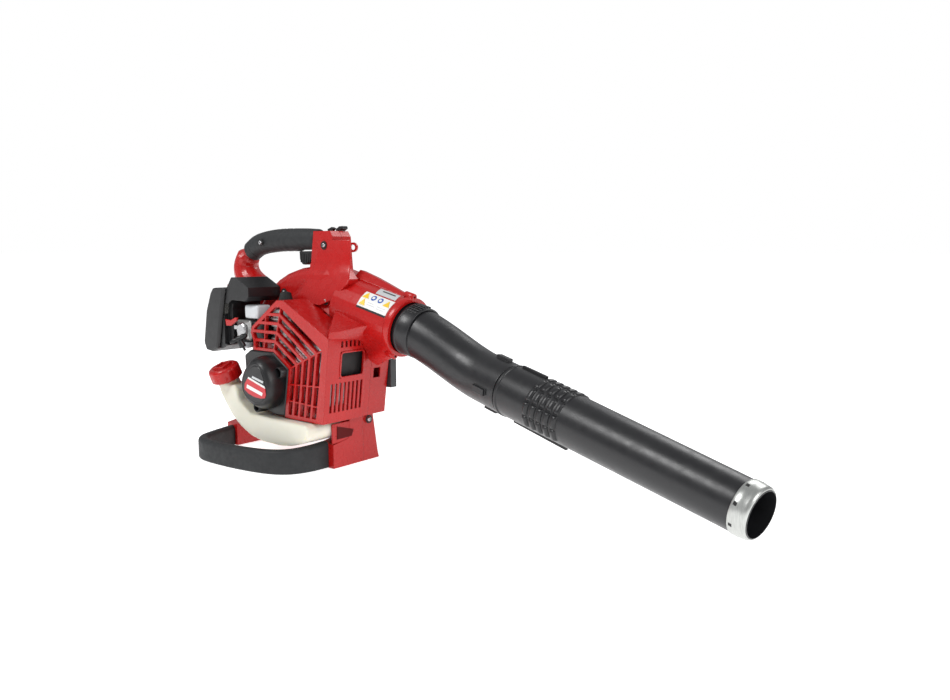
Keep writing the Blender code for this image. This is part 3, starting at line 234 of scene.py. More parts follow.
LOOKS = {
    "red_plastic": moulded("red_plastic_look", (0.44, 0.0060, 0.0055), 0.27, depth=0.00003, spread=0.05,
                           edge=0.0014, Coat_Weight=0.12, Coat_Roughness=0.12, Specular_IOR_Level=0.38),
    "black_plastic": moulded("black_plastic_look", (0.0075, 0.0075, 0.0083), 0.38, depth=0.00009),
    "pipe_plastic": moulded("pipe_plastic_look", (0.0115, 0.0115, 0.0130), 0.34, grain=1600.0, depth=0.00004),
    "grey_plastic": moulded("grey_plastic_look", (0.036, 0.038, 0.040), 0.45),
    "clear_plastic": moulded("clear_plastic_look", (0.60, 0.62, 0.64), 0.22, Subsurface_Weight=0.25,
                             Subsurface_Radius=(0.006, 0.006, 0.006)),
    "soft_grip": soft_touch("soft_grip_look", (0.018, 0.0195, 0.021)),
    "tank_plastic": tank_material(),
    "cast_alloy": metal("cast_alloy_look", (0.46, 0.46, 0.45), 0.42, grain=900.0, depth=0.0002),
    "steel": metal("steel_look", (0.50, 0.50, 0.51), 0.30, (1.0, 30.0, 1.0)),
    "ring_metal": metal("ring_metal_look", (0.50, 0.51, 0.49), 0.36, (8.0, 1.0, 1.0), depth=0.00003),
    "rubber": soft_touch("rubber_look", (0.012, 0.012, 0.012), 0.70),
    "filter_foam": foam_material(),
    "cord": rope_material(),
}
# Near-black painted shade: thin sheets and rings laid in holes, notches and recesses where shade falls.
HOLE_SHADE = moulded("painted_hole_shade", (0.006, 0.006, 0.006), 0.6)
# Dark red painted shade for the front foot's pocket, which is drawn flat.
POCKET_SHADE_RED = moulded("painted_pocket_shade", (0.10, 0.0040, 0.0040), 0.7, Specular_IOR_Level=0.2)
LABEL_WHITE = printed("label_white", (0.80, 0.80, 0.78))
LABEL_BLACK = printed("label_black", (0.015, 0.015, 0.017))
LABEL_YELLOW = printed("label_yellow", (0.85, 0.55, 0.03))
LABEL_BLUE = printed("label_blue", (0.03, 0.10, 0.42))
LABEL_RED = printed("label_red", (0.55, 0.020, 0.030))
LABEL_SILVER = printed("label_silver", (0.55, 0.57, 0.58), 0.28)

WINDOW = (-0.0050, 0.0420, 0.1380, 0.1765)   # exhaust window: near, far, bottom, top

# Mesh helpers -------------------------------------------------------------------------------------


def add(name, bm, look, body, replaces=(), sharp=35.0):
    """One finished piece: smooth shaded with sharp edges kept. It rides on body, unless that is None."""
    bmesh.ops.remove_doubles(bm, verts=bm.verts, dist=1e-6)
    bmesh.ops.recalc_face_normals(bm, faces=bm.faces)
    mesh = bpy.data.meshes.new(name)
    bm.to_mesh(mesh)
    bm.free()
    mesh.materials.append(look)
    for face in mesh.polygons:
        face.use_smooth = True
    mesh.set_sharp_from_angle(angle=math.radians(sharp))
    made = bpy.data.objects.new(name, mesh)
    bpy.context.scene.collection.objects.link(made)
    if body:
        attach(made, body)
    if replaces:
        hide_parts(*replaces)
    return made


def rounded(obj, width, segments=3, angle=30.0):
    """Rounds a piece's hard edges for real, and keeps the flats flat."""
    bevel = obj.modifiers.new("rounded", "BEVEL")
    bevel.width = width
    bevel.segments = segments
    bevel.limit_method = "ANGLE"
    bevel.angle_limit = math.radians(angle)
    bevel.use_clamp_overlap = True
    bevel.harden_normals = True
    return obj


def skin(bm, rings, closed_ends=True, closed_loop=False):
    """Faces between successive rings of points. Every ring has the same number of points."""
    rows = [[bm.verts.new(point) for point in ring] for ring in rings]
    pairs = list(zip(rows, rows[1:]))
    if closed_loop:
        pairs.append((rows[-1], rows[0]))
    for a, b in pairs:
        count = len(a)
        for i in range(count):
            bm.faces.new((a[i], a[(i + 1) % count], b[(i + 1) % count], b[i]))
    if closed_ends and not closed_loop:
        bm.faces.new(rows[0][::-1])
        bm.faces.new(rows[-1])


def axes(direction):
    """The direction, the side it has on its left, and the way up square to both."""
    along = Vector(direction).normalized()
    side = Vector((0, 0, 1)).cross(along).normalized()
    return along, side, along.cross(side)


def circle(centre, direction, radius, count=64, upright=1.0):
    _, side, up = axes(direction)
    spots = []
    for k in range(count):
        turn = 2 * math.pi * k / count
        spots.append(centre + side * radius * math.cos(turn) + up * radius * upright * math.sin(turn))
    return spots


def spun(bm, profile, centre, direction, count=64):
    """A body of revolution from (radius, distance along direction) pairs. A radius of 0 closes it."""
    rings = [circle(centre + Vector(direction).normalized() * height, direction, max(radius, 1e-5), count)
             for radius, height in profile]
    skin(bm, rings)


def arc(centre, radius, start, end, count):
    """Points (a, b) on a circular arc, angles in degrees."""
    spots = []
    for k in range(count):
        turn = math.radians(start + (end - start) * k / (count - 1))
        spots.append((centre[0] + radius * math.cos(turn), centre[1] + radius * math.sin(turn)))
    return spots


def smooth_line(points, steps):
    """Points on a smooth curve through the given ones (Catmull-Rom)."""
    points = [Vector(point) for point in points]
    padded = [2 * points[0] - points[1]] + points + [2 * points[-1] - points[-2]]
    made = []
    for i in range(1, len(padded) - 2):
        a, b, c, d = padded[i - 1:i + 3]
        for k in range(steps):
            t = k / steps
            made.append(0.5 * (2 * b + (c - a) * t + (2 * a - 5 * b + 4 * c - d) * t * t
                               + (3 * b - a - 3 * c + d) * t ** 3))
    return made + [points[-1]]


def box_in(bm, matrix, low, high):
    """A box between two corners of a local frame."""
    corners = [matrix @ Vector((x, y, z)) for x in (low[0], high[0]) for y in (low[1], high[1])
               for z in (low[2], high[2])]
    verts = [bm.verts.new(corner) for corner in corners]
    for a, b, c, d in ((0, 1, 3, 2), (4, 6, 7, 5), (0, 4, 5, 1), (2, 3, 7, 6), (0, 2, 6, 4), (1, 5, 7, 3)):
        bm.faces.new((verts[a], verts[b], verts[c], verts[d]))


def tube_frame(base, direction, distance, turn):
    """Local frame on a round pipe: Z along it, X outward at turn degrees, Y round it."""
    along, side, up = axes(direction)
    angle = math.radians(turn)
    out = side * math.cos(angle) + up * math.sin(angle)
    round_ = along.cross(out)
    matrix = Matrix((out, round_, along)).transposed().to_4x4()
    matrix.translation = base + along * distance
    return matrix


def pillow(bm, base, direction, span, turns, radius_at, height, edge=0.0012, cells=(6, 8), sink=0.0010):
    """A raised pad that follows a round pipe, with a soft shoulder all the way round."""
    along, side, up = axes(direction)
    across, over = cells
    length = span[1] - span[0]
    sweep = math.radians(turns[1] - turns[0])
    top, foot = [], []
    for i in range(over + 1):
        upper, lower = [], []
        for j in range(across + 1):
            share_a, share_s = i / over, j / across
            near_a = min(share_a, 1 - share_a) * sweep * radius_at(span[0])
            near_s = min(share_s, 1 - share_s) * length
            rise = min(near_a / edge, 1.0), min(near_s / edge, 1.0)
            swell = height * math.sin(rise[0] * math.pi / 2) * math.sin(rise[1] * math.pi / 2)
            distance = span[0] + length * share_s
            angle = math.radians(turns[0]) + sweep * share_a
            out = side * math.cos(angle) + up * math.sin(angle)
            spot = base + along * distance
            upper.append(bm.verts.new(spot + out * (radius_at(distance) + swell)))
            lower.append(bm.verts.new(spot + out * (radius_at(distance) - sink)))
        top.append(upper)
        foot.append(lower)
    for i in range(over):
        for j in range(across):
            bm.faces.new((top[i][j], top[i + 1][j], top[i + 1][j + 1], top[i][j + 1]))
            bm.faces.new((foot[i][j], foot[i][j + 1], foot[i + 1][j + 1], foot[i + 1][j]))
    rim_top = ([top[0][j] for j in range(across + 1)] + [top[i][across] for i in range(1, over + 1)]
               + [top[over][j] for j in range(across - 1, -1, -1)]
               + [top[i][0] for i in range(over - 1, 0, -1)])
    rim_foot = ([foot[0][j] for j in range(across + 1)] + [foot[i][across] for i in range(1, over + 1)]
                + [foot[over][j] for j in range(across - 1, -1, -1)]
                + [foot[i][0] for i in range(over - 1, 0, -1)])
    for k in range(len(rim_top)):
        nxt = (k + 1) % len(rim_top)
        bm.faces.new((rim_top[k], rim_top[nxt], rim_foot[nxt], rim_foot[k]))


# Air pipe -----------------------------------------------------------------------------------------


def pipe_radius(distance):
    share = (distance - PIPE_START) / (PIPE_END - PIPE_START)
    return PIPE_R0 + (PIPE_R1 - PIPE_R0) * share


def elbow_line(count=30):
    start, end = DUCT_OUT + DUCT_DIR * 0.004, PIPE_BEND
    first, second = start + DUCT_DIR * 0.050, end - PIPE_DIR * 0.050
    line = []
    for k in range(count):
        t = k / (count - 1)
        line.append(start * (1 - t) ** 3 + first * 3 * t * (1 - t) ** 2 + second * 3 * t * t * (1 - t)
                    + end * t ** 3)
    return line


def make_elbow():
    line = elbow_line()
    line = ([line[0] - DUCT_DIR * TAIL_LENGTH] + line
            + [PIPE_BEND + PIPE_DIR * distance for distance in (0.016, 0.032, 0.0475)])
    outer, inner = [], []
    last = len(line) - 1
    for i, spot in enumerate(line):
        ahead = line[min(i + 1, last)] - line[max(i - 1, 0)]
        if i <= 1:
            ahead = DUCT_DIR
        radius = ELBOW_R + (PIPE_R0 - ELBOW_R) * i / last
        outer.append(circle(spot, ahead, radius))
        inner.append(circle(spot, ahead, radius - ELBOW_WALL))
    for distance, radius in ((0.0480, 0.0330), (0.0485, 0.0292), (0.0800, 0.0292)):
        outer.append(circle(PIPE_BEND + PIPE_DIR * distance, PIPE_DIR, radius))
    inner = inner[:-1]
    for distance in (0.0440, 0.0800):
        inner.append(circle(PIPE_BEND + PIPE_DIR * distance, PIPE_DIR, 0.0272))
    bm = bmesh.new()
    skin(bm, outer + inner[::-1], closed_loop=True)
    collar = [(0.0340, 0.0046), (0.0374, 0.0046), (0.0378, 0.0052), (0.0378, 0.0075), (0.0369, 0.0080),
              (0.0367, 0.0285), (0.0362, 0.0292), (0.0340, 0.0292)]
    rings = [circle(DUCT_OUT + DUCT_DIR * height, DUCT_DIR, radius) for radius, height in collar]
    skin(bm, rings, closed_loop=True)
    fins = 7
    for k in range(fins):
        matrix = tube_frame(DUCT_OUT, DUCT_DIR, 0.0, 82.0 + 7.0 * k)
        box_in(bm, matrix, (0.0350, -0.0011, 0.0085), (0.0390, 0.0011, 0.0280))
    for turn in (84.0, 187.0, 262.0, 352.0):
        matrix = tube_frame(PIPE_BEND, PIPE_DIR, 0.0, turn)
        box_in(bm, matrix, (0.0310, -0.0045, 0.0120), (0.0372, 0.0045, 0.0340))
    made = add("elbow_shell", bm, LOOKS["pipe_plastic"], "elbow", ["elbow_pipe"])
    rounded(made, 0.0006, 2, 40.0)


def make_pipe():
    """Tapered tube with a rolled inlet edge, two keys and the ribbed hand grip."""
    stations = [(PIPE_START, 0.0004), (PIPE_START + 0.0010, 0.0012), (PIPE_START + 0.0040, 0.0012),
                (PIPE_START + 0.0050, 0.0)]
    stations += [(0.06 + 0.036 * k, 0.0) for k in range(10)]
    stations += [(PIPE_END - 0.0022, -0.0016), (PIPE_END - 0.0006, -0.0022), (PIPE_END, -0.0030)]
    rings = [circle(PIPE_BEND + PIPE_DIR * s, PIPE_DIR, pipe_radius(s) + extra, 72) for s, extra in stations]
    for s in (PIPE_END, 0.30, 0.18, PIPE_START):
        rings.append(circle(PIPE_BEND + PIPE_DIR * s, PIPE_DIR, pipe_radius(s) - PIPE_WALL - 0.0006, 72))
    bm = bmesh.new()
    skin(bm, rings, closed_loop=True)
    add("pipe_shell", bm, LOOKS["pipe_plastic"], "pipe", ["straight_pipe"])

    bm = bmesh.new()
    for turn, low, high in ((82.0, 0.0575, 0.1005), (-98.0, 0.0665, 0.1590)):
        matrix = tube_frame(PIPE_BEND, PIPE_DIR, 0.0, turn)
        box_in(bm, matrix, (0.0310, -0.0022, low), (0.0366, 0.0022, high))
    keys = add("pipe_keys", bm, LOOKS["pipe_plastic"], "pipe")
    rounded(keys, 0.0008)

    bm = bmesh.new()
    columns, pitch, width = 5, 0.0116, 0.0086
    blocks = [(99 + 31.5 * k, 99 + 31.5 * (k + 1) - 2.0) for k in range(4)]
    blocks += [(64.0, 97.0)] + [(-46 + 36 * k, -46 + 36 * (k + 1) - 2.0) for k in range(3)]
    for k in range(columns):
        low = 0.1030 + pitch * k
        for turns in blocks:
            pillow(bm, PIPE_BEND, PIPE_DIR, (low, low + width), turns, pipe_radius, 0.0026, 0.0026)
    add("pipe_grip", bm, LOOKS["pipe_plastic"], "pipe", sharp=60.0)


def make_nozzle_ring():
    start = PIPE_END - 0.0195
    base = PIPE_BEND + PIPE_DIR * start
    r = pipe_radius(start)
    profile = [(r - 0.0004, 0.0), (r + 0.0006, 0.0), (r + 0.0011, 0.0008), (r + 0.0011, 0.0085),
               (r + 0.0005, 0.0098), (r + 0.0004, 0.0140), (r - 0.0002, 0.0165), (r - 0.0012, 0.0182),
               (r - 0.0024, 0.0190), (r - 0.0032, 0.0188), (r - 0.0030, 0.0170), (r - 0.0012, 0.0150),
               (r - 0.0004, 0.0120)]
    rings = [circle(base + PIPE_DIR * height, PIPE_DIR, radius, 96) for radius, height in profile]
    bm = bmesh.new()
    skin(bm, rings, closed_loop=True)
    add("nozzle_band", bm, LOOKS["ring_metal"], "pipe", ["nozzle_ring"], sharp=50.0)
    bm = bmesh.new()
    # The notches are only thin near-black pads on the band: painted shade where the notches lie.
    notches = 8
    for k in range(notches):
        turn = 22.5 + 45.0 * k
        pillow(bm, base, PIPE_DIR, (0.0022, 0.0062), (turn - 4.0, turn + 4.0), lambda s: r + 0.0011,
               0.00012, 0.0002, (2, 3), 0.0006)
    add("nozzle_notch_shade", bm, HOLE_SHADE, "pipe")


# Handle, stand and cap ---------------------------------------------------------------------------


def make_grip():
    """Soft sleeve on the top handle, with shallow finger grooves at its ends."""
    path = [(-0.0885, 0.3361), (-0.125, 0.3370), (-0.185, 0.3365), (-0.234, 0.3305), (-0.2610, 0.3185)]
    line = smooth_line([at(x, 0.060, z) for x, z in path], 16)
    outer, inner = [], []
    last = len(line) - 1
    for i, spot in enumerate(line):
        ahead = line[min(i + 1, last)] - line[max(i - 1, 0)]
        share = i / last
        swell = 0.0163 + 0.0011 * math.sin(math.pi * share)
        if i in (0, last):
            swell -= 0.0012
        for groove in (0.36, 0.42, 0.48, 0.86, 0.90, 0.94):
            swell -= 0.0006 * math.exp(-((share - groove) / 0.006) ** 2)
        outer.append(circle(spot, ahead, swell, 40, 1.05))
        inner.append(circle(spot, ahead, 0.0133, 40, 1.04))
    bm = bmesh.new()
    skin(bm, outer + inner[::-1], closed_loop=True)
    cut_low, cut_high = at(-0.1350, 0.0520, 0.300), at(-0.0800, 0.0680, 0.330)
    made = add("grip_cover", bm, LOOKS["soft_grip"], "housing", ["grip_sleeve"])
    slot_bm = bmesh.new()
    box_in(slot_bm, Matrix.Identity(4), cut_low, cut_high)
    cut_from(made, slot_bm)


def cut_from(obj, bm):
    """Cuts a closed shape out of a piece."""
    bmesh.ops.recalc_face_normals(bm, faces=bm.faces)
    mesh = bpy.data.meshes.new("cutter")
    bm.to_mesh(mesh)
    bm.free()
    tool = bpy.data.objects.new("cutter", mesh)
    bpy.context.scene.collection.objects.link(tool)
    modifier = obj.modifiers.new("cut", "BOOLEAN")
    modifier.operation = "DIFFERENCE"
    modifier.solver = "EXACT"
    modifier.object = tool
    settle(obj)
    bpy.data.objects.remove(tool, do_unlink=True)


def settle(obj):
    """Turns a piece's modifiers into its mesh."""
    bpy.context.view_layer.update()
    graph = bpy.context.evaluated_depsgraph_get()
    mesh = bpy.data.meshes.new_from_object(obj.evaluated_get(graph))
    old = obj.data
    obj.modifiers.clear()
    obj.data = mesh
    bpy.data.meshes.remove(old)


def make_stand():
    """The bar that bows out from both feet: a rounded section, taller than wide, swept round."""
    route = [(-0.0185, -0.0004), (-0.0205, -0.030), (-0.0310, -0.056), (-0.0560, -0.072), (-0.100, -0.0815),
             (-0.150, -0.0858), (-0.196, -0.0843), (-0.2230, -0.0700), (-0.2370, -0.040), (-0.2490, -0.0004)]
    line = smooth_line([at(x, y, 0.0) for x, y in route], 7)
    last = len(line) - 1
    rings = []
    for i, spot in enumerate(line):
        ahead = (line[min(i + 1, last)] - line[max(i - 1, 0)]).normalized()
        if i in (0, last):
            ahead = Vector((0, -1 if i == 0 else 1, 0))
        side = Vector((ahead.y, -ahead.x, 0))
        share = i / last
        height = 0.0399 - 0.0075 * math.sin(math.pi * min(share * 1.4, 1.0) / 2)
        half, foot, head = 0.0077, 0.0026, 0.0060
        outline = (arc((-half + foot, foot), foot, 180, 270, 4) + arc((half - foot, foot), foot, 270, 360, 4)
                   + arc((half - head, height - head), head, 0, 90, 7)
                   + arc((-half + head, height - head), head, 90, 180, 7))
        rings.append([spot + side * a + Vector((0, 0, b)) for a, b in outline])
    bm = bmesh.new()
    skin(bm, rings)
    add("stand_bar", bm, LOOKS["soft_grip"], "housing", ["stand_loop"], sharp=50.0)


def make_cap():
    """Screw cap with shallow flutes, a dished top and a raised square to grip."""
    count = 112
    along, side, up = axes(CAP_AXIS)
    profile = [(0.0174, 0.0012), (0.0226, 0.0012), (0.0242, 0.0028), (0.0240, 0.0180), (0.0230, 0.0206),
               (0.0204, 0.0226), (0.0176, 0.0232), (0.0160, 0.0224), (0.0, 0.0224)]
    rings = []
    for radius, height in profile:
        ring = []
        for k in range(count):
            turn = 2 * math.pi * k / count
            flute = 0.0
            if 0.0025 < height < 0.0210:
                flute = 0.0007 * abs(math.sin(turn * 6)) ** 0.5 - 0.0004
            reach = max(radius + flute, 1e-5)
            ring.append(CAP_AT + along * height + side * reach * math.cos(turn) + up * reach * math.sin(turn))
        rings.append(ring)
    bm = bmesh.new()
    skin(bm, rings)
    for turn in (15.0, 105.0, 195.0, 285.0):
        box_in(bm, tube_frame(CAP_AT, CAP_AXIS, 0.0, turn), (0.0075, -0.0105, 0.0215),
               (0.0108, 0.0105, 0.0256))
    made = add("cap_shell", bm, LOOKS["red_plastic"], "cap", ["fuel_cap"], sharp=45.0)
    rounded(made, 0.0006, 2, 50.0)


# Starter ------------------------------------------------------------------------------------------


DOME_Z = 0.1230
DOME = [(-0.0262, -0.1100, 0.0400, 0.01), (-0.0325, -0.1100, 0.0403, 0.01), (-0.0400, -0.1084, 0.0398, 0.03),
        (-0.0450, -0.1073, 0.0388, 0.05), (-0.0500, -0.1062, 0.0374, 0.07), (-0.0540, -0.1051, 0.0352, 0.09),
        (-0.0570, -0.1043, 0.0327, 0.11), (-0.0588, -0.1038, 0.0302, 0.14), (-0.0593, -0.1036, 0.0288, 0.16),
        (-0.0588, -0.1036, 0.0276, 0.17), (-0.0590, -0.1036, 0.0266, 0.17), (-0.0600, -0.1036, 0.0258, 0.17),
        (-0.0600, -0.1036, 0.0060, 0.10), (-0.0600, -0.1036, 0.0, 0.0)]


def dome_ring(depth, middle, size, squareness, count=84):
    """Outline of the starter's dome at one depth: a circle that turns into a rounded triangle."""
    loop = []
    for k in range(count):
        turn = 2 * math.pi * k / count
        reach = max(size, 1e-5) * (1 + squareness * 0.5 * math.cos(3 * (turn - math.radians(75))))
        loop.append(at(middle + reach * math.cos(turn), depth, DOME_Z + reach * math.sin(turn)))
    return loop


def make_starter():
    """Black starter housing: five-sided plate, a stepped dome, two screw bosses and the badge on it."""
    near = -0.0310
    edge = [(-0.165, 0.160), (-0.150, 0.1690), (-0.0953, 0.1690), (-0.0605, 0.1465), (-0.0724, 0.0755),
            (-0.090, 0.0745), (-0.135, 0.081), (-0.162, 0.105)]
    bm = bmesh.new()
    skin(bm, [[at(x, y, z) for x, z in edge] for y in (near, -0.0235)])
    plate = add("starter_plate", bm, LOOKS["black_plastic"], "housing", ["starter_housing"])
    rounded(plate, 0.0022)

    bm = bmesh.new()
    skin(bm, [dome_ring(*row) for row in DOME])
    add("starter_dome", bm, LOOKS["black_plastic"], "housing", sharp=40.0)

    bm = bmesh.new()
    dark = bmesh.new()
    out = Vector((0, -1, 0))
    for centre, radius, depth in ((at(-0.0725, near, 0.1410), 0.0088, 0.0100),
                                  (at(-0.1205, near, 0.0850), 0.0080, 0.0140)):
        hole = radius - 0.0026
        spun(bm, [(0.0, -0.004), (radius, -0.004), (radius, depth - 0.001), (radius - 0.001, depth),
                  (hole + 0.0006, depth), (hole, depth - 0.001), (hole - 0.0002, 0.0020), (0.0, 0.0020)],
             centre, out, 40)
        # A near-black disc down in each boss's hole: painted shade.
        spun(dark, [(0.0, 0.0018), (hole - 0.0003, 0.0018), (hole - 0.0003, 0.0040), (0.0, 0.0040)],
             centre, out, 40)
    add("starter_bosses", bm, LOOKS["black_plastic"], "housing", sharp=45.0)
    add("starter_hole_shade", dark, HOLE_SHADE, "housing")

    def plaque(name, outline, look, low, high):
        bm = bmesh.new()
        skin(bm, [[at(x, -y, z) for x, z in outline] for y in (low, high)])
        rounded(add(name, bm, look, "housing"), 0.0002, 2)

    plaque("badge_field", [(-0.1185, 0.1318), (-0.0775, 0.1204), (-0.0765, 0.1100), (-0.0790, 0.1056),
                           (-0.0900, 0.1040), (-0.1040, 0.1050), (-0.1180, 0.1085), (-0.1275, 0.1140),
                           (-0.1262, 0.1230)], LABEL_RED, 0.0596, 0.0604)
    plaque("badge_rim", [(-0.1165, 0.1337), (-0.0790, 0.1233), (-0.0775, 0.1198), (-0.1185, 0.1312)],
           LABEL_WHITE, 0.0596, 0.0606)
    plaque("badge_band", [(-0.1200, 0.1222), (-0.0832, 0.1132), (-0.0852, 0.1082), (-0.1216, 0.1168)],
           LABEL_WHITE, 0.0596, 0.0608)
    plaque("badge_top", [(-0.1070, 0.1362), (-0.0812, 0.1303), (-0.0826, 0.1272), (-0.1086, 0.1330)],
           LABEL_SILVER, 0.0596, 0.0605)


def make_pull_grip():
    start = at(-0.1520, -0.0420, 0.1740)
    pull = Vector(JOINTS["pull_cord"]["axis"]).normalized()
    bm = bmesh.new()
    spun(bm, [(0.0, 0.0), (0.0050, 0.0), (0.0056, 0.0010), (0.0050, 0.0060), (0.0045, 0.0110),
              (0.0, 0.0110)], start, pull, 32)
    turn = pull.to_track_quat("Z", "Y").to_matrix().to_4x4()
    turn.translation = start
    rings = []
    for k in range(17):
        share = k / 16 * 2 - 1
        reach = (0.0058 * math.sqrt(max(1 - abs(share) ** 6, 0.0001))
                 * (0.92 + 0.08 * math.cos(share * math.pi * 4)))
        rings.append([turn @ Vector((reach * math.cos(a), 0.0150 * share,
                                     0.0140 + 0.0048 / 0.0058 * reach * math.sin(a)))
                      for a in (2 * math.pi * j / 28 for j in range(28))])
    skin(bm, rings)
    add("pull_handle", bm, LOOKS["black_plastic"], "pull", ["starter_grip"], sharp=60.0)


def make_pull_rope():
    """A short length of rope at the grip, baked in place and riding on no body."""
    start = at(-0.1520, -0.0420, 0.1740)
    pull = Vector(JOINTS["pull_cord"]["axis"]).normalized()
    bm = bmesh.new()
    skin(bm, [circle(start + pull * (-0.0060 + 0.0110 * k / 24), pull, 0.0018, 16) for k in range(25)])
    rope = add("pull_rope", bm, LOOKS["cord"], None)
    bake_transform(rope)


# Case details -------------------------------------------------------------------------------------


def duct_plate(name, span, turns, look, rise, slant=0.0, cells=(10, 12)):
    """A thin printed plate that lies on the round duct."""
    bm = bmesh.new()
    rows = []
    for layer in (-0.0008, rise):
        grid = []
        for i in range(cells[0] + 1):
            share = i / cells[0]
            turn = turns[0] + (turns[1] - turns[0]) * share
            start = span[0] + slant * (0.5 - share)
            grid.append([bm.verts.new(duct_point(start + (span[1] - span[0]) * j / cells[1], turn, layer))
                         for j in range(cells[1] + 1)])
        rows.append(grid)
    low, high = rows
    for i in range(cells[0]):
        for j in range(cells[1]):
            bm.faces.new((high[i][j], high[i + 1][j], high[i + 1][j + 1], high[i][j + 1]))
            bm.faces.new((low[i][j], low[i][j + 1], low[i + 1][j + 1], low[i + 1][j]))
    for i in range(cells[0]):
        for j in (0, cells[1]):
            bm.faces.new((low[i][j], low[i + 1][j], high[i + 1][j], high[i][j]))
    for j in range(cells[1]):
        for i in (0, cells[0]):
            bm.faces.new((low[i][j], low[i][j + 1], high[i][j + 1], high[i][j]))
    add(name, bm, look, "housing", sharp=30.0)


def duct_point(distance, turn, rise):
    """A point over the round duct, distance along it and turn degrees round it."""
    along, side, up = axes(DUCT_DIR)
    angle = math.radians(turn)
    return DUCT_OUT + along * distance + (side * math.cos(angle) + up * math.sin(angle)) * (DUCT_R + rise)


def duct_mark(name, outline, look, rise=0.0006):
    """A small printed shape on the duct, from (distance, turn) corners."""
    bm = bmesh.new()
    skin(bm, [[duct_point(s, t, layer) for s, t in outline] for layer in (0.0003, rise)])
    add(name, bm, look, "housing", sharp=30.0)


def make_labels():
    """Plain plates where the machine carries its notices, with generic shapes and grey lines."""
    duct_plate("notice_plate", (-0.0725, -0.0145), (121.5, 161.0), LABEL_WHITE, 0.0005)
    duct_plate("notice_foot", (-0.0725, -0.0145), (157.0, 161.0), LABEL_BLACK, 0.0006)
    for k, (s, t) in enumerate(((-0.0650, 130.5), (-0.0640, 146.5), (-0.0222, 133.0))):
        duct_mark(f"notice_yellow_{k}", [(s - 0.0056, t + 6.5), (s + 0.0056, t + 6.5), (s, t - 7.0)],
                  LABEL_YELLOW, 0.0016)
    for k, s in enumerate((-0.0510, -0.0375)):
        round_ = [(s + a, 131.0 + math.degrees(b / DUCT_R)) for a, b in arc((0.0, 0.0), 0.0046, 0, 345, 24)]
        duct_mark(f"notice_blue_{k}", round_, LABEL_BLUE)
        inner = [(s + a, 131.0 + math.degrees(b / DUCT_R)) for a, b in arc((0.0, 0.0), 0.0022, 0, 345, 16)]
        duct_mark(f"notice_dot_{k}", inner, LABEL_WHITE, 0.0008)
    for k, (start, end, turn) in enumerate(((-0.0560, -0.0440, 143.5), (-0.0560, -0.0400, 148.0),
                                            (-0.0360, -0.0190, 145.0), (-0.0360, -0.0220, 149.5))):
        duct_plate(f"notice_line_{k}", (start, end), (turn, turn + 1.6), LABEL_SILVER, 0.0006, cells=(2, 4))
    duct_plate("type_plate", (-0.0600, -0.0205), (94.0, 117.5), LABEL_SILVER, 0.0005, slant=-0.0060)
    duct_plate("type_band", (-0.0520, -0.0270), (101.0, 105.5), LABEL_BLACK, 0.0006, slant=-0.0020)


def make_case_bosses():
    """Screw bosses on the duct's flange and along the split, and the clamp rib round the outlet."""
    bm = bmesh.new()
    for turn in (86.0, 248.0):
        matrix = tube_frame(DUCT_OUT, DUCT_DIR, 0.0, turn)
        centre = matrix @ Vector((0.0440, 0.0, -0.0200))
        spun(bm, [(0.0, 0.0), (0.0042, 0.0), (0.0052, 0.0010), (0.0052, 0.0170), (0.0044, 0.0180),
                  (0.0022, 0.0180), (0.0022, 0.0120), (0.0, 0.0120)], centre, DUCT_DIR, 32)
    rings = [circle(DUCT_OUT + DUCT_DIR * height, DUCT_DIR, radius, 96)
             for radius, height in ((0.0415, -0.0120), (0.0432, -0.0105), (0.0436, -0.0090),
                                    (0.0436, -0.0018), (0.0430, -0.0006), (0.0405, -0.0006),
                                    (0.0405, -0.0120))]
    skin(bm, rings, closed_loop=True)
    add("duct_collar", bm, LOOKS["red_plastic"], "housing", sharp=45.0)


def make_saddle():
    """Rib along the duct's crown, from the fan case to the clamp flange."""
    rings = []
    for distance, rise in ((-0.1240, 0.0150), (-0.0950, 0.0130), (-0.0650, 0.0095), (-0.0350, 0.0056),
                           (-0.0090, 0.0030)):
        ring = []
        for turn, share in ((48.0, 0.40), (58.0, 0.80), (68.0, 1.0), (80.0, 0.92), (90.0, 0.12)):
            ring.append(duct_point(distance, turn, rise * share))
        for turn in (90.0, 70.0, 48.0):
            ring.append(duct_point(distance, turn, -0.0020))
        rings.append(ring)
    bm = bmesh.new()
    skin(bm, rings)
    rounded(add("duct_saddle", bm, LOOKS["red_plastic"], "housing", sharp=40.0), 0.0010, 2)


def make_fairing():
    """The moulding that carries the cover's front edge over to the duct, as one closed skin."""
    crest = [(0.0297, -0.0300, 0.2062), (0.0450, -0.0080, 0.2100), (0.0610, 0.0165, 0.2138),
             (0.0740, 0.0240, 0.1990), (0.0850, 0.0300, 0.1830), (0.0920, 0.0500, 0.1740)]
    roof = [(-0.0060, 0.0150, 0.2345), (0.0190, 0.0180, 0.2260), (0.0430, 0.0200, 0.2175),
            (0.0640, 0.0260, 0.2080), (0.0740, 0.0360, 0.1950), (0.0800, 0.0500, 0.1860)]
    foot = [(0.0286, -0.0300, 0.1965), (0.0288, 0.0000, 0.1940), (0.0286, 0.0280, 0.1900),
            (0.0290, 0.0400, 0.1760), (0.0300, 0.0460, 0.1600), (0.0340, 0.0600, 0.1500)]
    back = [(0.0100, -0.0200, 0.1985), (0.0150, 0.0100, 0.2050), (0.0180, 0.0300, 0.2000),
            (0.0200, 0.0420, 0.1850), (0.0210, 0.0520, 0.1700), (0.0240, 0.0600, 0.1600)]
    lines = [smooth_line([at(*spot) for spot in row], 5) for row in (roof, crest, foot, back)]
    bm = bmesh.new()
    skin(bm, [list(ring) for ring in zip(*lines)])
    made = add("duct_fairing", bm, LOOKS["red_plastic"], "housing", sharp=38.0)
    rounded(made, 0.0016)


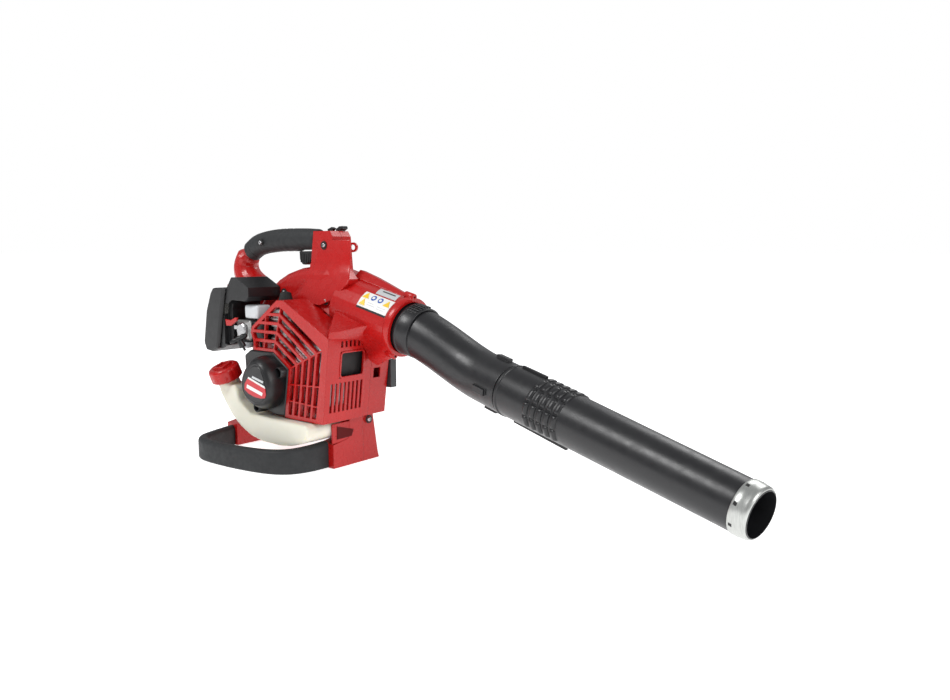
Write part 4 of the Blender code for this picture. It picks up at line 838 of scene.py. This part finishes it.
def make_flare():
    """Skin of the handle's post and of the flare it runs out into over the scroll and the cover's roof."""
    levels = [(0.0398, (-0.0735, 0.3360), (-0.0285, 0.3360), (-0.0050, 0.3360)),
              (0.0396, (-0.0747, 0.3177), (-0.0307, 0.3165), (-0.0051, 0.3150)),
              (0.0380, (-0.0747, 0.3036), (-0.0312, 0.3020), (-0.0040, 0.2990)),
              (0.0325, (-0.0770, 0.2893), (-0.0308, 0.2880), (-0.0010, 0.2890)),
              (0.0270, (-0.0807, 0.2770), (-0.0314, 0.2755), (0.0040, 0.2830)),
              (0.0222, (-0.0862, 0.2658), (-0.0337, 0.2650), (0.0090, 0.2780)),
              (0.0186, (-0.0925, 0.2572), (-0.0368, 0.2550), (0.0080, 0.2710)),
              (0.0164, (-0.1060, 0.2497), (-0.0397, 0.2462), (-0.0030, 0.2620)),
              (0.0152, (-0.1200, 0.2440), (-0.0414, 0.2380), (-0.0087, 0.2510))]
    rings = []
    for near, rear, ridge, front in levels:
        far = 0.0500
        rings.append([at(rear[0], near, rear[1]), at(ridge[0], near, ridge[1]),
                      at(front[0], near + 0.0060, front[1]), at(front[0] - 0.002, far, front[1]),
                      at(rear[0], far, rear[1])])
    bm = bmesh.new()
    skin(bm, rings)
    rounded(add("post_skin", bm, LOOKS["red_plastic"], "housing", sharp=30.0), 0.0018, 3, 25.0)


def make_foot_pocket():
    """The front foot's cheek beside the tank, with a flat dark red plate of painted shade where its pocket lies.
    """
    cheek = [(-0.0010, 0.0672), (0.0340, 0.0672), (0.0340, 0.0400), (-0.0010, 0.0370)]
    bm = bmesh.new()
    skin(bm, [[at(x, y, z) for y, z in cheek] for x in (-0.0032, -0.0004)])
    rounded(add("foot_cheek", bm, LOOKS["red_plastic"], "housing"), 0.0006, 2)
    # The pocket is a flat dark red plate: painted shade, not a real recess.
    outline = [(0.0078, 0.0625), (0.0405, 0.0533), (0.0359, 0.0436), (0.0072, 0.0432)]
    bm = bmesh.new()
    skin(bm, [[at(x, y, z) for y, z in outline] for x in (-0.0012, 0.0005)])
    add("foot_pocket_shade", bm, POCKET_SHADE_RED, "housing")


def front_x(z):
    """The cover's leaning front face at a height."""
    return 0.0130 + (z - 0.0730) * 0.1256


def make_window():
    """Dark sheet of painted shade behind the exhaust window, and the rounded frame let into it."""
    near, far, low, high = WINDOW
    # A near-black sheet behind the front face: painted shade in the window's opening.
    corners = [(near - 0.004, low - 0.004), (far + 0.003, low - 0.004), (far + 0.003, high + 0.003),
               (near - 0.004, high + 0.003)]
    bm = bmesh.new()
    skin(bm, [[at(front_x(z) - depth, y, z) for y, z in corners] for depth in (0.0095, 0.0085)])
    add("window_shade_sheet", bm, HOLE_SHADE, "housing")
    rings = []
    for depth, grow in ((0.0026, 0.0006), (-0.0010, 0.0006), (-0.0010, -0.0020), (0.0026, -0.0020)):
        soft = 0.0052 + grow
        ring = []
        for y, z, start in ((far, high, 0), (near, high, 90), (near, low, 180), (far, low, 270)):
            out_y, out_z = (1 if y == far else -1), (1 if z == high else -1)
            centre = (y + out_y * (grow - soft), z + out_z * (grow - soft))
            ring += [at(front_x(b) - depth, a, b) for a, b in arc(centre, soft, start, start + 90, 5)]
        rings.append(ring)
    bm = bmesh.new()
    skin(bm, rings, closed_loop=True)
    add("window_frame", bm, LOOKS["red_plastic"], "housing", sharp=40.0)


def make_screws():
    """Button-head screws with a six-lobed socket, each in a short near-black ring of painted shade where the case
    is recessed round its head.
    """
    ways = {"screw_front_foot": Vector((1, 0, 0))}
    for name in ("screw_grip", "screw_post", "screw_case_top", "screw_case_rear", "screw_front_foot"):
        low, high = (Vector(corner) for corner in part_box(name))
        way = ways.get(name, Vector((0, -1, 0)))
        middle = (low + high) / 2
        base = middle - way * 0.0015
        along, side, up = axes(way)
        rings = []
        for radius, height, lobes in ((0.0036, 0.0, 0.0), (0.0036, 0.0012, 0.0), (0.0031, 0.0023, 0.0),
                                      (0.0024, 0.0029, 0.0), (0.0018, 0.0030, 0.12), (0.0017, 0.0012, 0.14)):
            rings.append([base + along * height + (side * math.cos(t) + up * math.sin(t))
                          * radius * (1 + lobes * math.cos(6 * t))
                          for t in (2 * math.pi * k / 48 for k in range(48))])
        bm = bmesh.new()
        skin(bm, rings)
        add(f"{name}_head", bm, LOOKS["steel"], "housing", [name], sharp=35.0)
        # A near-black ring round each head: painted shade of the recess the screw sits in.
        ring = bmesh.new()
        profile = [(0.0044, 0.0003), (0.0044, 0.0013), (0.0061, 0.0013), (0.0064, 0.0003)]
        skin(ring, [circle(base + along * height, along, radius, 40) for radius, height in profile],
             closed_loop=True)
        add(f"{name}_recess", ring, HOLE_SHADE, "housing", sharp=40.0)


def make_trigger_ribs():
    low, high = (Vector(corner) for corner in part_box("throttle_trigger"))
    bm = bmesh.new()
    count = 6
    for k in range(count):
        x = low.x + 0.0040 + 0.0042 * k
        foot = low.z + 0.0036 - 0.0006 * k + 0.0016 * max(k - 3, 0)
        box_in(bm, Matrix.Identity(4), (x, low.y - 0.0008, foot),
               (x + 0.0016, high.y + 0.0008, foot + 0.0150))
    rounded(add("trigger_ribs", bm, LOOKS["black_plastic"], "trigger"), 0.0004, 2)


# CAD pieces that keep their shape -----------------------------------------------------------------


def dress_frame():
    """Every CAD piece gets its slot's material, and the larger mouldings get rounded edges."""
    slots = {row["node"]: row["material_slot"] for row in frame["record"]["subparts"]}
    soft_edges = {"engine_cover": 0.0009, "air_cleaner_base": 0.0015, "intake_guard": 0.0010,
                  "throttle_trigger": 0.0008, "stop_switch": 0.0006, "cruise_lever": 0.0006,
                  "lid_latch": 0.0008, "breather_box": 0.0010}
    for name, node in frame["nodes"].items():
        node.data.materials.clear()
        node.data.materials.append(LOOKS[slots[name]])
        if name in soft_edges:
            weld = node.modifiers.new("weld", "WELD")
            weld.merge_threshold = 1e-5
            rounded(node, soft_edges[name], 2, 40.0)
    tank = frame["nodes"]["fuel_tank"]
    soft = tank.modifiers.new("even", "REMESH")
    soft.mode = "VOXEL"
    soft.voxel_size = 0.0020
    soft.use_smooth_shade = True
    blown = tank.modifiers.new("blown", "SMOOTH")
    blown.factor = 0.5
    blown.iterations = 14


# Setting ------------------------------------------------------------------------------------------


def studio_world():
    """White where the camera looks past the floor, and a softer grey dome for everything it lights."""
    world = bpy.data.worlds.new("studio")
    world.use_nodes = True
    nodes, links = world.node_tree.nodes, world.node_tree.links
    seen = nodes["Background"]
    seen.inputs["Color"].default_value = (1.0, 1.0, 1.0, 1.0)
    seen.inputs["Strength"].default_value = 1.0
    dome = nodes.new("ShaderNodeBackground")
    dome.inputs["Color"].default_value = (0.97, 0.98, 1.0, 1.0)
    dome.inputs["Strength"].default_value = DOME_LIGHT
    path = nodes.new("ShaderNodeLightPath")
    mix = nodes.new("ShaderNodeMixShader")
    links.new(path.outputs["Is Camera Ray"], mix.inputs["Fac"])
    links.new(dome.outputs["Background"], mix.inputs[1])
    links.new(seen.outputs["Background"], mix.inputs[2])
    links.new(mix.outputs["Shader"], nodes["World Output"].inputs["Surface"])
    bpy.context.scene.world = world


def make_setting():
    """Pale floor, soft light from above and both sides, and the photograph's viewing angle."""
    bm = bmesh.new()
    corners = [(-1, -1), (1, -1), (1, 1), (-1, 1)]
    bm.faces.new([bm.verts.new((x * FLOOR_REACH, y * FLOOR_REACH, 0.0)) for x, y in corners])
    mesh = bpy.data.meshes.new("floor")
    bm.to_mesh(mesh)
    bm.free()
    floor = bpy.data.objects.new("floor", mesh)
    bpy.context.scene.collection.objects.link(floor)
    pale = Shader("floor_look", 0.60)
    pale.tint((0.83, 0.83, 0.83), (0.87, 0.87, 0.87), pale.noise(3.0))
    pale.put(Emission_Color=(1.0, 1.0, 1.0, 1.0), Emission_Strength=FLOOR_GLOW, Specular_IOR_Level=0.2)
    mesh.materials.append(pale.material)
    studio_world()

    for name, spot, size, power in LAMPS:
        lamp = bpy.data.lights.new(name, "AREA")
        lamp.size = size
        lamp.energy = power
        holder = bpy.data.objects.new(name, lamp)
        bpy.context.scene.collection.objects.link(holder)
        holder.location = spot
        aim = LAMP_AIM - Vector(spot)
        holder.rotation_euler = aim.to_track_quat("-Z", "Y").to_euler()

    camera = bpy.data.cameras.new("camera")
    camera.lens = CAMERA_LENS
    camera.sensor_width = 36.0
    holder = bpy.data.objects.new("camera", camera)
    bpy.context.scene.collection.objects.link(holder)
    holder.location = CAMERA_AT
    level = math.cos(CAMERA_FALL)
    forward = Vector((-math.sin(CAMERA_TURN) * level, math.cos(CAMERA_TURN) * level, -math.sin(CAMERA_FALL)))
    holder.rotation_euler = forward.to_track_quat("-Z", "Y").to_euler()
    bpy.context.scene.camera = holder
    bpy.context.scene.view_settings.view_transform = "Standard"


dress_frame()
make_elbow()
make_pipe()
make_nozzle_ring()
make_grip()
make_stand()
make_cap()
make_starter()
make_pull_grip()
make_pull_rope()
make_labels()
make_case_bosses()
make_flare()
make_saddle()
make_fairing()
make_window()
make_foot_pocket()
make_screws()
make_trigger_ribs()
make_setting()
